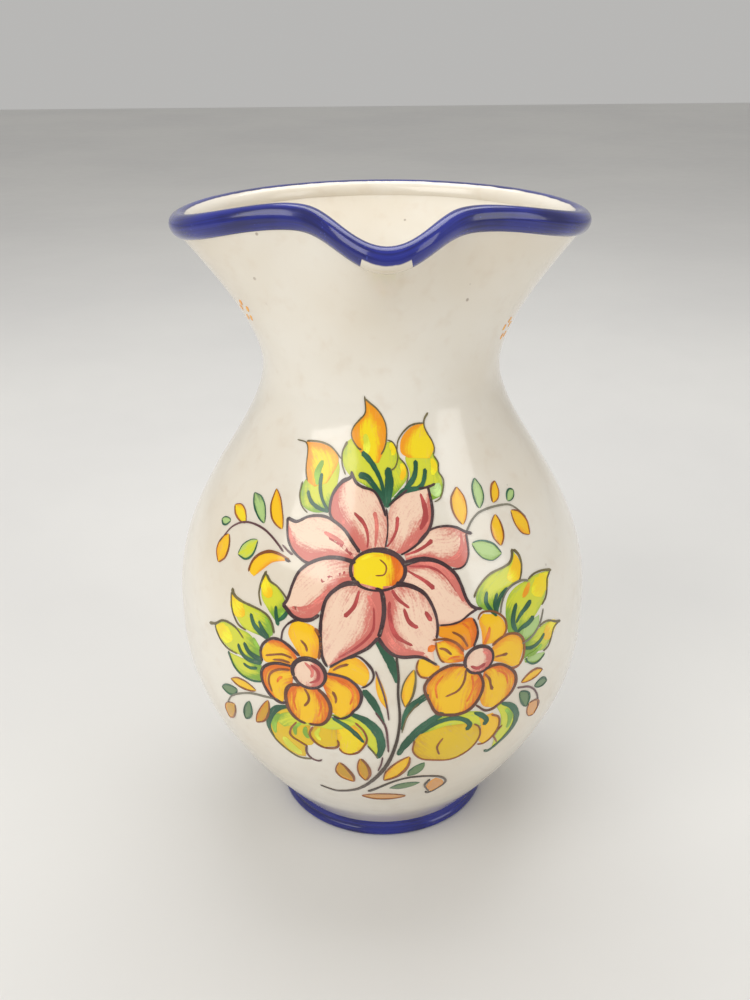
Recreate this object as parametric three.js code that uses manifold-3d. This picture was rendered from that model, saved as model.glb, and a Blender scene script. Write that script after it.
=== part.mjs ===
// A hand-thrown pouring jug in the Talavera manner: a full round belly on a turned foot, a narrow
// waist, a wide flaring mouth pinched on both sides into a pouring spout, a rolled lip, and a
// pulled strap handle luted on at the back.
// Millimetres, +Z up. The spout points along -Y and the handle along +Y.
import * as THREE from "three";
import { mergeVertices } from "three/addons/utils/BufferGeometryUtils.js";
import Module from "manifold-3d";

// ---- Driving dimensions ---------------------------------------------------------------------

// The slip joint that two clay pieces are luted across.
const SLIP_GAP = 0.3;

// Turned foot.
const FOOT_HEIGHT = 7;
const FOOT_TOP_R = 42.6;
const FOOT_SPLAY = 1.8;
const FOOT_WIDTH = 8;
const FOOT_EDGE_R = 1.2;

// Thrown belly. A handle is the length of a Bezier tangent at that place.
const WALL = 5;
const FLOOR_THICKNESS = 6;
const BASE_R = 43.5;
const BASE_LEAN = THREE.MathUtils.degToRad(39.5);
const BASE_HANDLE = 63.3;
const BELLY_R = 81.6;
const BELLY_Z = 97.7;
const BELLY_HANDLE_DOWN = 19.6;
const BELLY_HANDLE_UP = 43.3;

// Waist, where the neck was thrown on.
const WAIST_R = 44.5;
const WAIST_Z = 192.5;
const WAIST_HANDLE_DOWN = 26;
const WAIST_HANDLE_UP = 13.2;

// Flaring mouth. Where the potter pinches the wall in, it stands up straighter, reaches higher
// and is drawn up a little more. Between the pinches the spout is pressed down and curls out.
const LIP_R = 72.2;
const FLARE_LENGTH = 56;
const FLARE_CURL = 1.43;
const FLARE_HANDLE = 19;
const PINCH_AZIMUTH = 32.5;
const PINCH_DEPTH = 22;
const PINCH_WIDTH_TO_SPOUT = 28;
const PINCH_WIDTH_TO_SIDE = 34;
const RIGHT_PINCH_RISE = 2.1;
const LEFT_PINCH_RISE = 3.5;
const SPOUT_DROP = 5.6;
const SPOUT_WIDTH = 16;
const SPOUT_CURL = THREE.MathUtils.degToRad(20);

// Rolled lip: an oval roll that sits on the end of the flared wall.
const ROLL_HALF_THICKNESS = 4.2;
const ROLL_HALF_HEIGHT = 4.6;
const ROLL_SEAT_DEPTH = 4;
const ROLL_INWARD = 0.5;

// Pulled handle: a strap of oval section in the plane x = 0.
const HANDLE_ROOT_Z = 130;
const HANDLE_REACH = 108;
const HANDLE_TOP_WIDTH = 28;
const HANDLE_MIDDLE_WIDTH = 21;
const HANDLE_FOOT_WIDTH = 26;
const HANDLE_THICKNESS = 9;
const HANDLE_BITE = 6;
const ROOT_PAD_MARGIN = 3.5;
const ROOT_PAD_DEPTH = 6;

// Facets.
const AROUND = 48;
const MOUTH_STEPS = 60;
const BELLY_STEPS = 9;
const FLARE_STEPS = 8;
const ROLL_STEPS = 11;
const HANDLE_STEPS = 22;
const STRAP_STEPS = 14;

// ---- Materials --------------------------------------------------------------------------------

const whiteGlaze = new THREE.MeshStandardMaterial({ color: 0xe9dfd0, roughness: 0.18, metalness: 0 });
const cobaltGlaze = new THREE.MeshStandardMaterial({ color: 0x1d2a86, roughness: 0.15, metalness: 0 });

// ---- Meridian of the thrown pot ----------------------------------------------------------------

const point = (r, z) => new THREE.Vector2(r, z);

const lowerBelly = new THREE.CubicBezierCurve(
  point(BASE_R, FOOT_HEIGHT),
  point(BASE_R + BASE_HANDLE * Math.sin(BASE_LEAN), FOOT_HEIGHT + BASE_HANDLE * Math.cos(BASE_LEAN)),
  point(BELLY_R, BELLY_Z - BELLY_HANDLE_DOWN),
  point(BELLY_R, BELLY_Z),
);
const upperBelly = new THREE.CubicBezierCurve(
  point(BELLY_R, BELLY_Z),
  point(BELLY_R, BELLY_Z + BELLY_HANDLE_UP),
  point(WAIST_R, WAIST_Z - WAIST_HANDLE_DOWN),
  point(WAIST_R, WAIST_Z),
);

// Points of a curve moved sideways: a positive distance goes outwards from the pot's axis.
function offsetPoints(curve, steps, distance) {
  return Array.from({ length: steps + 1 }, (_, i) => {
    const at = curve.getPoint(i / steps);
    const along = curve.getTangent(i / steps);
    return point(at.x + along.y * distance, at.y - along.x * distance);
  });
}

// The belly's outer line from the foot to the waist, standing off the real one by a distance.
function bellyLine(distance) {
  return [
    ...offsetPoints(lowerBelly, BELLY_STEPS, distance),
    ...offsetPoints(upperBelly, BELLY_STEPS, distance).slice(1),
  ];
}

// ---- The pinched mouth ---------------------------------------------------------------------------

const bell = (x, width) => Math.exp(-((x / width) ** 2));

// How much of a pinch reaches an azimuth, counted in degrees away from that pinch: 1 at the pinch.
const pinchAt = (away) => bell(away, away < 0 ? PINCH_WIDTH_TO_SPOUT : PINCH_WIDTH_TO_SIDE);

// The section of the mouth at an azimuth in degrees from the spout: the roll's centre, and the
// wall's own directions there.
function lipAt(azimuth) {
  const right = pinchAt(azimuth - PINCH_AZIMUTH);
  const left = pinchAt(-azimuth - PINCH_AZIMUTH);
  const spout = bell(azimuth, SPOUT_WIDTH);
  const radius = LIP_R - PINCH_DEPTH * (right + left);
  const lean = Math.asin((radius - WAIST_R) / FLARE_LENGTH);
  const drawnUp = RIGHT_PINCH_RISE * right + LEFT_PINCH_RISE * left - SPOUT_DROP * spout;
  const curl = FLARE_CURL * lean + SPOUT_CURL * spout;
  return {
    centre: point(radius, WAIST_Z + FLARE_LENGTH * Math.cos(lean) + drawnUp),
    along: point(Math.sin(curl), Math.cos(curl)),
    outwards: point(Math.cos(curl), -Math.sin(curl)),
  };
}

// A place in a lip's own directions, counted from the roll's centre.
function inLip({ centre, along, outwards }, out, up) {
  return centre.clone().addScaledVector(outwards, out).addScaledVector(along, up);
}

function flareSection(azimuth) {
  const lip = lipAt(azimuth);
  const outerEnd = inLip(lip, WALL / 2 + ROLL_INWARD, -ROLL_SEAT_DEPTH);
  const outer = new THREE.CubicBezierCurve(
    point(WAIST_R, WAIST_Z),
    point(WAIST_R, WAIST_Z + WAIST_HANDLE_UP),
    outerEnd.clone().addScaledVector(lip.along, -FLARE_HANDLE),
    outerEnd,
  );
  return [...offsetPoints(outer, FLARE_STEPS, 0), ...offsetPoints(outer, FLARE_STEPS, -WALL).reverse()];
}

function rollSection(azimuth) {
  const lip = lipAt(azimuth);
  const flat = Math.asin((ROLL_SEAT_DEPTH - SLIP_GAP) / ROLL_HALF_HEIGHT);
  return Array.from({ length: ROLL_STEPS + 1 }, (_, i) => {
    const turn = -flat + ((Math.PI + 2 * flat) * i) / ROLL_STEPS;
    return inLip(lip, ROLL_HALF_THICKNESS * Math.cos(turn), ROLL_HALF_HEIGHT * Math.sin(turn));
  });
}

// ---- Solids from rings of points -------------------------------------------------------------------

// A closed skin over rings of the same number of points. It joins the last ring to the first one,
// or closes both ends with a fan of triangles.
function skin(rings, endless) {
  const around = rings[0].length;
  const positions = rings.flat().flatMap((p) => [p.x, p.y, p.z]);
  const index = [];
  const corner = (ring, i) => (ring % rings.length) * around + (i % around);
  for (let ring = 0; ring < rings.length - (endless ? 0 : 1); ring++) {
    for (let i = 0; i < around; i++) {
      const [a, b] = [corner(ring, i), corner(ring, i + 1)];
      const [c, d] = [corner(ring + 1, i + 1), corner(ring + 1, i)];
      index.push(a, c, b, a, d, c);
    }
  }
  if (!endless) {
    for (let i = 1; i < around - 1; i++) {
      index.push(corner(0, 0), corner(0, i), corner(0, i + 1));
      const last = rings.length - 1;
      index.push(corner(last, 0), corner(last, i + 1), corner(last, i));
    }
  }
  const geometry = new THREE.BufferGeometry();
  geometry.setAttribute("position", new THREE.Float32BufferAttribute(positions, 3));
  geometry.setIndex(index);
  geometry.computeVertexNormals();
  return geometry;
}

// A section that changes with the azimuth, carried once round the pot's axis. The steps are
// closest together at the spout, where the section changes most.
function aroundMouth(sectionAt) {
  const rings = Array.from({ length: MOUTH_STEPS }, (_, i) => {
    const share = i / MOUTH_STEPS;
    const azimuth = 360 * (share - 0.5) + 30 * Math.sin(2 * Math.PI * share);
    const turn = THREE.MathUtils.degToRad(azimuth);
    return sectionAt(azimuth).map((p) => new THREE.Vector3(p.x * Math.sin(turn), -p.x * Math.cos(turn), p.y));
  });
  return skin(rings, true);
}

// A profile of (radius, height) points spun round the Z axis.
function turned(profile) {
  const geometry = new THREE.LatheGeometry(profile, AROUND);
  geometry.rotateX(Math.PI / 2);
  return geometry;
}

// ---- Booleans ----------------------------------------------------------------------------------------

const wasm = await Module();
wasm.setup();

function solid(geometry) {
  const bare = new THREE.BufferGeometry().setAttribute("position", geometry.getAttribute("position").clone());
  bare.setIndex(geometry.index ? geometry.index.clone() : null);
  const merged = mergeVertices(bare, 1e-4);
  return new wasm.Manifold(
    new wasm.Mesh({
      numProp: 3,
      vertProperties: new Float32Array(merged.getAttribute("position").array),
      triVerts: new Uint32Array(merged.index.array),
    }),
  );
}

function geometryOf(manifold) {
  const made = manifold.getMesh();
  const geometry = new THREE.BufferGeometry();
  geometry.setAttribute("position", new THREE.BufferAttribute(new Float32Array(made.vertProperties), 3));
  geometry.setIndex(new THREE.BufferAttribute(new Uint32Array(made.triVerts), 1));
  geometry.computeVertexNormals();
  return geometry;
}

// ---- The pieces ----------------------------------------------------------------------------------------

function bodyGeometry() {
  const outer = bellyLine(0);
  const top = outer.pop();
  outer.push(point(top.x, WAIST_Z - SLIP_GAP));
  const inner = bellyLine(-WALL).filter((p) => p.y > FOOT_HEIGHT + FLOOR_THICKNESS + WALL);
  const innerTop = inner.pop();
  inner.push(point(innerTop.x, WAIST_Z - SLIP_GAP));
  const floorTop = FOOT_HEIGHT + FLOOR_THICKNESS;
  const floorCorner = [point(inner[0].x - WALL, floorTop + 1), point(inner[0].x - 2 * WALL, floorTop)];
  return turned([
    point(0, FOOT_HEIGHT),
    ...outer,
    ...inner.reverse(),
    ...floorCorner,
    point(0, floorTop),
  ]);
}

function footGeometry() {
  const top = FOOT_HEIGHT - SLIP_GAP;
  const innerR = FOOT_TOP_R - FOOT_WIDTH;
  const bottomR = FOOT_TOP_R + FOOT_SPLAY;
  return turned([
    point(innerR, top),
    point(innerR, FOOT_EDGE_R),
    point(innerR + FOOT_EDGE_R, 0),
    point(bottomR - FOOT_EDGE_R, 0),
    point(bottomR, FOOT_EDGE_R),
    point(FOOT_TOP_R, top),
    point(innerR, top),
  ]);
}

// The handle's centre line, in (y, z): out from under the lip, round, and down to the shoulder.
function handleLine() {
  const lip = lipAt(180).centre;
  const shoulder = bellyLine(0).reduce((near, p) =>
    Math.abs(p.y - HANDLE_ROOT_Z) < Math.abs(near.y - HANDLE_ROOT_Z) ? p : near,
  );
  const shoulderR = shoulder.x + (shoulder.y - HANDLE_ROOT_Z) * 0.45;
  const top = lip.y - ROLL_HALF_HEIGHT - HANDLE_THICKNESS / 3;
  const drop = top - HANDLE_ROOT_Z;
  const stations = [
    [lip.x - HANDLE_BITE, top - 1],
    [lip.x + 9, top + 1.5],
    [lip.x + 0.6 * (HANDLE_REACH - lip.x), top - 0.01 * drop],
    [HANDLE_REACH - 4, top - 0.1 * drop],
    [HANDLE_REACH, top - 0.27 * drop],
    [HANDLE_REACH - 3, top - 0.5 * drop],
    [HANDLE_REACH - 11, top - 0.72 * drop],
    [shoulderR + 13, HANDLE_ROOT_Z + 10],
    [shoulderR - HANDLE_BITE, HANDLE_ROOT_Z - 3],
  ];
  return new THREE.CatmullRomCurve3(stations.map(([y, z]) => new THREE.Vector3(0, y, z)));
}

// The strap's width along the handle: wide where it is luted on, slimmer where it is held.
function strapWidth(share) {
  const atTop = bell(share, 0.22) * (HANDLE_TOP_WIDTH - HANDLE_MIDDLE_WIDTH);
  const atFoot = bell(1 - share, 0.2) * (HANDLE_FOOT_WIDTH - HANDLE_MIDDLE_WIDTH);
  return HANDLE_MIDDLE_WIDTH + atTop + atFoot;
}

// The strap, standing off its real surface by a distance.
function strapGeometry(distance) {
  const line = handleLine();
  const rings = Array.from({ length: HANDLE_STEPS + 1 }, (_, i) => {
    const share = i / HANDLE_STEPS;
    const centre = line.getPointAt(share);
    const along = line.getTangentAt(share);
    const across = new THREE.Vector3(1, 0, 0);
    const outwards = new THREE.Vector3().crossVectors(across, along);
    const halfWidth = strapWidth(share) / 2 + distance;
    const halfThickness = HANDLE_THICKNESS / 2 + distance;
    return Array.from({ length: STRAP_STEPS }, (_, k) => {
      const turn = (2 * Math.PI * k) / STRAP_STEPS;
      return centre
        .clone()
        .addScaledVector(across, halfWidth * Math.cos(turn))
        .addScaledVector(outwards, halfThickness * Math.sin(turn));
    });
  });
  return skin(rings, false);
}

// What the handle and its pads are cut back from: the pot without its hollow, a slip joint larger.
function potEnvelope() {
  const belly = bellyLine(SLIP_GAP);
  const envelope = solid(turned([point(0, FOOT_HEIGHT), ...belly, point(0, belly[belly.length - 1].y)]));
  const filledLip = (azimuth) => {
    const lip = lipAt(azimuth);
    const wall = flareSection(azimuth).slice(0, FLARE_STEPS + 1);
    const outer = wall.map((p) => point(p.x + SLIP_GAP * 1.3, p.y));
    const roll = Array.from({ length: 7 }, (_, i) => {
      const turn = Math.PI / 2 - ((6 - i) * 0.8 * Math.PI) / 6;
      const [out, up] = [ROLL_HALF_THICKNESS + SLIP_GAP, ROLL_HALF_HEIGHT + SLIP_GAP];
      return inLip(lip, out * Math.cos(turn), up * Math.sin(turn));
    });
    const core = WAIST_R / 3;
    return [point(core, WAIST_Z - 1), point(outer[0].x, WAIST_Z - 1), ...outer, ...roll, point(core, roll[6].y)];
  };
  return envelope.add(solid(aroundMouth(filledLip)));
}

// A thumbed-on pad of clay round one end of the handle.
function padGeometry(share, width, pot) {
  const line = handleLine();
  const centre = line.getPointAt(share);
  const along = line.getTangentAt(share);
  const pad = new THREE.SphereGeometry(1, 20, 12);
  pad.scale(width / 2 + ROOT_PAD_MARGIN, HANDLE_THICKNESS / 2 + ROOT_PAD_MARGIN, ROOT_PAD_DEPTH);
  const basis = new THREE.Matrix4().makeBasis(
    new THREE.Vector3(1, 0, 0),
    new THREE.Vector3().crossVectors(along, new THREE.Vector3(1, 0, 0)),
    along,
  );
  pad.applyMatrix4(basis.setPosition(centre));
  return geometryOf(solid(pad).subtract(pot).subtract(solid(strapGeometry(SLIP_GAP))));
}

function node(name, geometry, material) {
  const mesh = new THREE.Mesh(geometry, material);
  mesh.name = name;
  return mesh;
}

// ---- Assembly --------------------------------------------------------------------------------------------

const pot = potEnvelope();
const jug = new THREE.Group();
jug.add(
  node("body", bodyGeometry(), whiteGlaze),
  node("neck", aroundMouth(flareSection), whiteGlaze),
  node("rim_roll", aroundMouth(rollSection), cobaltGlaze),
  node("foot_ring", footGeometry(), cobaltGlaze),
  node("handle", geometryOf(solid(strapGeometry(0)).subtract(pot)), whiteGlaze),
  node("handle_upper_pad", padGeometry(0.07, HANDLE_TOP_WIDTH, pot), whiteGlaze),
  node("handle_lower_pad", padGeometry(0.95, HANDLE_FOOT_WIDTH, pot), whiteGlaze),
);

// The part's origin is on the surface it stands on, at the middle of the space it takes.
const extent = new THREE.Box3().setFromObject(jug, true);
const middle = extent.getCenter(new THREE.Vector3());
jug.position.set(-middle.x, -middle.y, -extent.min.z);

const part = new THREE.Group();
part.add(jug);

export default part;
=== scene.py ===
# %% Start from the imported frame
import math
import bpy
import numpy as np
from mathutils import Vector, Matrix


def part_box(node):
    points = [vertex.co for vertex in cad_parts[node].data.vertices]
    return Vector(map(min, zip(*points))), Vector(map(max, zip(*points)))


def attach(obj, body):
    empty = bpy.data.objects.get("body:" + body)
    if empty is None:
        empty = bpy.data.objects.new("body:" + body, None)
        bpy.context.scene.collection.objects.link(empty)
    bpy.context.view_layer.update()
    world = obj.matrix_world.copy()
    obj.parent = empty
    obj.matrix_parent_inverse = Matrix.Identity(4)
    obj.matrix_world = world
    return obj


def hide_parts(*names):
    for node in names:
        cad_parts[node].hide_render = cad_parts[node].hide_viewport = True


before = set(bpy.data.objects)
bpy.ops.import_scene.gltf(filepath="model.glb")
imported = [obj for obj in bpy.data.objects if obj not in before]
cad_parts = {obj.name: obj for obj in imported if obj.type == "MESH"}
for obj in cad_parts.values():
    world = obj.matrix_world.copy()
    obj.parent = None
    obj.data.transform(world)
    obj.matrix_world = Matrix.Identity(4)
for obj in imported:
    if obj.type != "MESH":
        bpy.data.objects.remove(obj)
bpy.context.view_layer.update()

# %% [markdown]
# # A hand-painted pouring jug
# This jug is thrown on a wheel, so nearly every surface is a rule turned round one upright axis.
# The axis is the middle of the foot ring. Everything below is measured from it, in metres, and a
# length given in millimetres is multiplied by MM.

# %% The jug's axis
MM = 0.001
foot_low, foot_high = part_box("foot_ring")
AXIS_Y = (foot_low.y + foot_high.y) / 2
print("the axis stands at y =", round(AXIS_Y / MM, 2), "mm")

# %% [markdown]
# ## Camera
# The jug is seen from in front and a little above, near enough for the mouth to look wide and the
# foot to look narrow. The camera comes first because it shows at once whether a shape is right.
# It is placed by its distance from the axis, its height and the way it tips down.

# %% Camera
CAMERA_DISTANCE = 397.2 * MM
CAMERA_HEIGHT = 318.0 * MM
CAMERA_SIDE = -2.66 * MM
CAMERA_TURN = math.radians(-1.3)
CAMERA_PITCH = math.radians(25.02)
CAMERA_ROLL = math.radians(-0.41)

camera_data = bpy.data.cameras.new("camera")
camera_data.lens = 39.6
camera_data.sensor_width = 36
camera = bpy.data.objects.new("camera", camera_data)
bpy.context.scene.collection.objects.link(camera)
stand = Matrix.Translation((0, AXIS_Y, 0)) @ Matrix.Rotation(CAMERA_TURN, 4, "Z")
spot = Matrix.Translation((CAMERA_SIDE, -CAMERA_DISTANCE, CAMERA_HEIGHT))
tip = Matrix.Rotation(math.pi / 2 - CAMERA_PITCH, 4, "X") @ Matrix.Rotation(CAMERA_ROLL, 4, "Z")
camera.matrix_world = stand @ spot @ tip
bpy.context.scene.camera = camera
print("camera at", [round(v, 3) for v in camera.matrix_world.translation])

# %% [markdown]
# ## Writing node trees as sums
# Both the shapes and the glazes below are node trees. Wiring each small sum by hand would hide
# what it says, so a Wire holds one socket and lets Python's own + - * / add the Math nodes. A
# vector or a colour goes through Vector Math instead, because a Math node would turn it grey.

# %% A wire that can be added and multiplied
class Wire:
    """One output socket of a node tree, used in sums like a number."""

    def __init__(self, socket):
        self.socket = socket

    def node(self, kind, settings=None, inputs=None, output=0):
        return add_node(self.socket.id_data, kind, settings, inputs, output)

    def out(self, name):
        return Wire(self.socket.node.outputs[name])

    def math(self, operation, *others):
        values = dict(enumerate((self,) + others))
        return self.node("ShaderNodeMath", {"operation": operation}, values)

    def vector_math(self, operation, first, second):
        if operation == "MULTIPLY" and not (is_vector(first) and is_vector(second)):
            vector, number = (first, second) if is_vector(first) else (second, first)
            return self.node("ShaderNodeVectorMath", {"operation": "SCALE"},
                             {0: vector, "Scale": number})
        return self.node("ShaderNodeVectorMath", {"operation": operation}, {0: first, 1: second})

    def sum(self, operation, first, second):
        if is_vector(first) or is_vector(second):
            return self.vector_math(operation, first, second)
        return self.node("ShaderNodeMath", {"operation": operation}, {0: first, 1: second})

    def __add__(self, other):
        return self.sum("ADD", self, other)

    def __radd__(self, other):
        return self.sum("ADD", other, self)

    def __sub__(self, other):
        return self.sum("SUBTRACT", self, other)

    def __rsub__(self, other):
        return self.sum("SUBTRACT", other, self)

    def __mul__(self, other):
        return self.sum("MULTIPLY", self, other)

    def __rmul__(self, other):
        return self.sum("MULTIPLY", other, self)

    def __truediv__(self, other):
        return self.sum("DIVIDE", self, other)

    def __rtruediv__(self, other):
        return self.sum("DIVIDE", other, self)

    def __neg__(self):
        return self * -1.0


def is_vector(value):
    if isinstance(value, Wire):
        return value.socket.type in ("VECTOR", "RGBA")
    return isinstance(value, (tuple, list, Vector))


def add_node(tree, kind, settings=None, inputs=None, output=0):
    """Any node: its settings are set first, then its sockets get values or wires."""
    made = tree.nodes.new(kind)
    for name, value in (settings or {}).items():
        setattr(made, name, value)
    for name, value in (inputs or {}).items():
        socket = made.inputs[name]
        if isinstance(value, Wire):
            tree.links.new(value.socket, socket)
        else:
            socket.default_value = value
    return Wire(made.outputs[output]) if made.outputs else made


def cos(x):
    return x.math("COSINE")


def sin(x):
    return x.math("SINE")


def smooth_step(x, low, high, start=0.0, end=1.0):
    return x.node("ShaderNodeMapRange", {"interpolation_type": "SMOOTHSTEP"},
                  {"Value": x, "From Min": low, "From Max": high, "To Min": start, "To Max": end})


def noise(vector, scale, detail=2.0, roughness=0.5):
    return vector.node("ShaderNodeTexNoise", {},
                       {"Vector": vector, "Scale": scale, "Detail": detail, "Roughness": roughness})


def vector_of(x, y, z):
    wires = [v for v in (x, y, z) if isinstance(v, Wire)]
    return wires[0].node("ShaderNodeCombineXYZ", {}, {"X": x, "Y": y, "Z": z})


def split(vector):
    parts = vector.node("ShaderNodeSeparateXYZ", {}, {"Vector": vector})
    return parts, parts.out("Y"), parts.out("Z")


def mixed(factor, first, second):
    """Two colours mixed by a factor from 0 to 1."""
    return factor.node("ShaderNodeMix", {"data_type": "RGBA"}, {0: factor, 6: first, 7: second}, 2)


def choose(factor, first, second):
    """One of two numbers: the first at factor 0, the second at factor 1."""
    return first + (second - first) * factor if isinstance(first,
    Wire) else (second - first) * factor + first


print("wires ready")

# %% [markdown]
# ## Geometry Nodes groups
# A shape that follows a rule is a Geometry Nodes tree. Its sizes are named inputs, so that a
# reader can drag them in the modifier panel. When the shape is right it is turned into a plain
# mesh and the modifier goes away, because a plain mesh is what other programs can read.

# %% Helpers for geometry groups
SOCKET_KINDS = {float: "NodeSocketFloat", int: "NodeSocketInt", bpy.types.Object: "NodeSocketObject"}


def geometry_group(name, sizes):
    """A new tree with one named input for each size, and the wires that carry them."""
    tree = bpy.data.node_groups.new(name, "GeometryNodeTree")
    face = tree.interface
    face.new_socket("Geometry", in_out="OUTPUT", socket_type="NodeSocketGeometry")
    face.new_socket("Geometry", in_out="INPUT", socket_type="NodeSocketGeometry")
    for label, value in sizes.items():
        kind = "NodeSocketObject" if isinstance(value, bpy.types.Object) else SOCKET_KINDS[type(value)]
        face.new_socket(label, in_out="INPUT", socket_type=kind)
    face.new_socket("Glaze", in_out="INPUT", socket_type="NodeSocketMaterial")
    start = tree.nodes.new("NodeGroupInput")
    wires = {s.name: Wire(s) for s in start.outputs if s.name}
    return tree, wires


def finish_group(tree, wires, geometry, smooth=True):
    """The end of every tree: real geometry, smooth shading, its glaze."""
    real = geometry.node("GeometryNodeRealizeInstances", {}, {"Geometry": geometry})
    if smooth:
        real = real.node("GeometryNodeSetShadeSmooth", {}, {"Geometry": real, "Shade Smooth": True})
    glazed = real.node("GeometryNodeSetMaterial", {}, {"Geometry": real, "Material": wires["Glaze"]})
    end = tree.nodes.new("NodeGroupOutput")
    tree.links.new(glazed.socket, end.inputs[0])


def made_by(tree, name, sizes, glaze, start_mesh=None):
    """Runs a geometry group on a start mesh and keeps the result as a plain mesh."""
    piece = bpy.data.objects.new(name, start_mesh or bpy.data.meshes.new(name))
    bpy.context.scene.collection.objects.link(piece)
    modifier = piece.modifiers.new("rule", "NODES")
    modifier.node_group = tree
    for item in tree.interface.items_tree:
        if item.in_out == "INPUT" and item.name in sizes:
            modifier[item.identifier] = sizes[item.name]
        if item.in_out == "INPUT" and item.name == "Glaze":
            modifier[item.identifier] = glaze
    graph = bpy.context.evaluated_depsgraph_get()
    mesh = bpy.data.meshes.new_from_object(piece.evaluated_get(graph), depsgraph=graph,
                                           preserve_all_data_layers=True)
    piece.modifiers.remove(modifier)
    piece.data = mesh
    mesh.name = name
    mesh.materials.clear()
    mesh.materials.append(glaze)
    triangles = sum(len(p.vertices) - 2 for p in mesh.polygons)
    print(name, "has", triangles, "triangles")
    return piece


def merged(geometry, distance=0.00001):
    return geometry.node("GeometryNodeMergeByDistance", {},
                         {"Geometry": geometry, "Distance": distance})


def joined(parts):
    tree = parts[0].socket.id_data
    node = tree.nodes.new("GeometryNodeJoinGeometry")
    for part in parts:
        tree.links.new(part.socket, node.inputs[0])
    return Wire(node.outputs[0])


# %% [markdown]
# ## Glazes
# The white is a tin glaze over a buff clay: milky, a little uneven in thickness, warmer where it
# runs thin, with a few iron specks, and very glossy. Its shine is never perfectly even, because
# the surface keeps the soft ripple of the wheel. That ripple is a bump; the colour is noise in
# three sizes. Object coordinates are used, so the pattern sits still on the clay.

# %% Colours and the gloss that all the glazes share
def srgb(red, green, blue):
    """A colour as a painter would read it from a chart, turned into the linear numbers of light."""
    def linear(v):
        v = v / 255
        return v / 12.92 if v <= 0.04045 else ((v + 0.055) / 1.055) ** 2.4
    return (linear(red), linear(green), linear(blue), 1.0)


MILK = srgb(240, 235, 224)
CREAM = srgb(231, 221, 203)
BUFF = srgb(205, 178, 146)
IRON_SPECK = srgb(120, 92, 70)
GLOSS_IOR = 1.52


def start_glaze(name):
    glaze = bpy.data.materials.new(name)
    glaze.use_nodes = True
    tree = glaze.node_tree
    shader = tree.nodes["Principled BSDF"]
    shader.inputs["IOR"].default_value = GLOSS_IOR
    shader.inputs["Coat Weight"].default_value = 0.35
    shader.inputs["Coat Roughness"].default_value = 0.05
    where = add_node(tree, "ShaderNodeTexCoord", {}, {}, "Object")
    return glaze, tree, shader, where


def plug(tree, shader, **wires):
    for name, wire in wires.items():
        tree.links.new(wire.socket, shader.inputs[name.replace("_", " ")])


def glaze_ripple(where, strength=0.22):
    """The soft ripple in the shine: wide turning marks and a finer skin."""
    x, y, z = split(where)
    turning = noise(vector_of(x * 0.12, y * 0.12, z), 150.0, 1.0)
    skin = noise(where, 70.0, 1.5)
    pores = noise(where, 900.0, 1.0)
    height = turning * 0.5 + skin * 1.1 + pores * 0.03
    return where.node("ShaderNodeBump", {}, {"Strength": strength, "Distance": 0.0008, "Height": height})


def white_ground(where):
    """The tin white's colour anywhere on the jug."""
    cloud = smooth_step(noise(where, 14.0, 3.0), 0.35, 0.72)
    grain = smooth_step(noise(where, 160.0, 2.0), 0.5, 0.85)
    ground = mixed(cloud, MILK, CREAM)
    ground = mixed(grain * 0.16, ground, BUFF)
    specks = where.node("ShaderNodeTexVoronoi", {}, {"Vector": where, "Scale": 75.0}, "Distance")
    rare = smooth_step(noise(where, 40.0, 0.0), 0.60, 0.66)
    dots = (1 - smooth_step(specks, 0.03, 0.06)) * rare
    return mixed(dots * 0.55, ground, IRON_SPECK)


def white_glaze_material():
    glaze, tree, shader, where = start_glaze("white_glaze")
    plug(tree, shader, Base_Color=white_ground(where), Normal=glaze_ripple(where),
         Roughness=smooth_step(noise(where, 60.0, 2.0), 0.2, 0.8, 0.10, 0.2))
    return glaze


white_glaze = white_glaze_material()
print("white glaze mixed")

# %% [markdown]
# The blue is cobalt brushed over the white before the firing. Cobalt floods where the brush is
# wet and thins to a paler, streaky blue where the brush runs dry; tiny pale dots come where the
# white boils through. The roll and the foot carry a UV map that runs round the jug and round
# the roll's own section, so the strokes follow the roll and the paint can stop along its inside.

# %% Cobalt glaze
COBALT_DEEP = srgb(16, 20, 92)
COBALT = srgb(30, 40, 142)
COBALT_THIN = srgb(70, 86, 182)


def cobalt_colour(where, along, across):
    """Cobalt as brushed: along runs with the brush, across goes over its width, both in metres."""
    streaks = noise(vector_of(along * 14.0, across * 900.0, 0.0), 1.0, 3.0, 0.6)
    pools = noise(where, 55.0, 2.0)
    colour = mixed(smooth_step(streaks * 0.55 + pools * 0.45, 0.36, 0.62), COBALT_DEEP, COBALT)
    dry = smooth_step(streaks, 0.60, 0.80) * smooth_step(pools, 0.45, 0.65)
    colour = mixed(dry * 0.55, colour, COBALT_THIN)
    dots = where.node("ShaderNodeTexVoronoi", {}, {"Vector": where, "Scale": 620.0}, "Distance")
    salt = (1 - smooth_step(dots, 0.10, 0.22)) * smooth_step(noise(where, 90.0, 2.0), 0.52, 0.62)
    return mixed(salt * 0.5, colour, COBALT_THIN)


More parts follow.
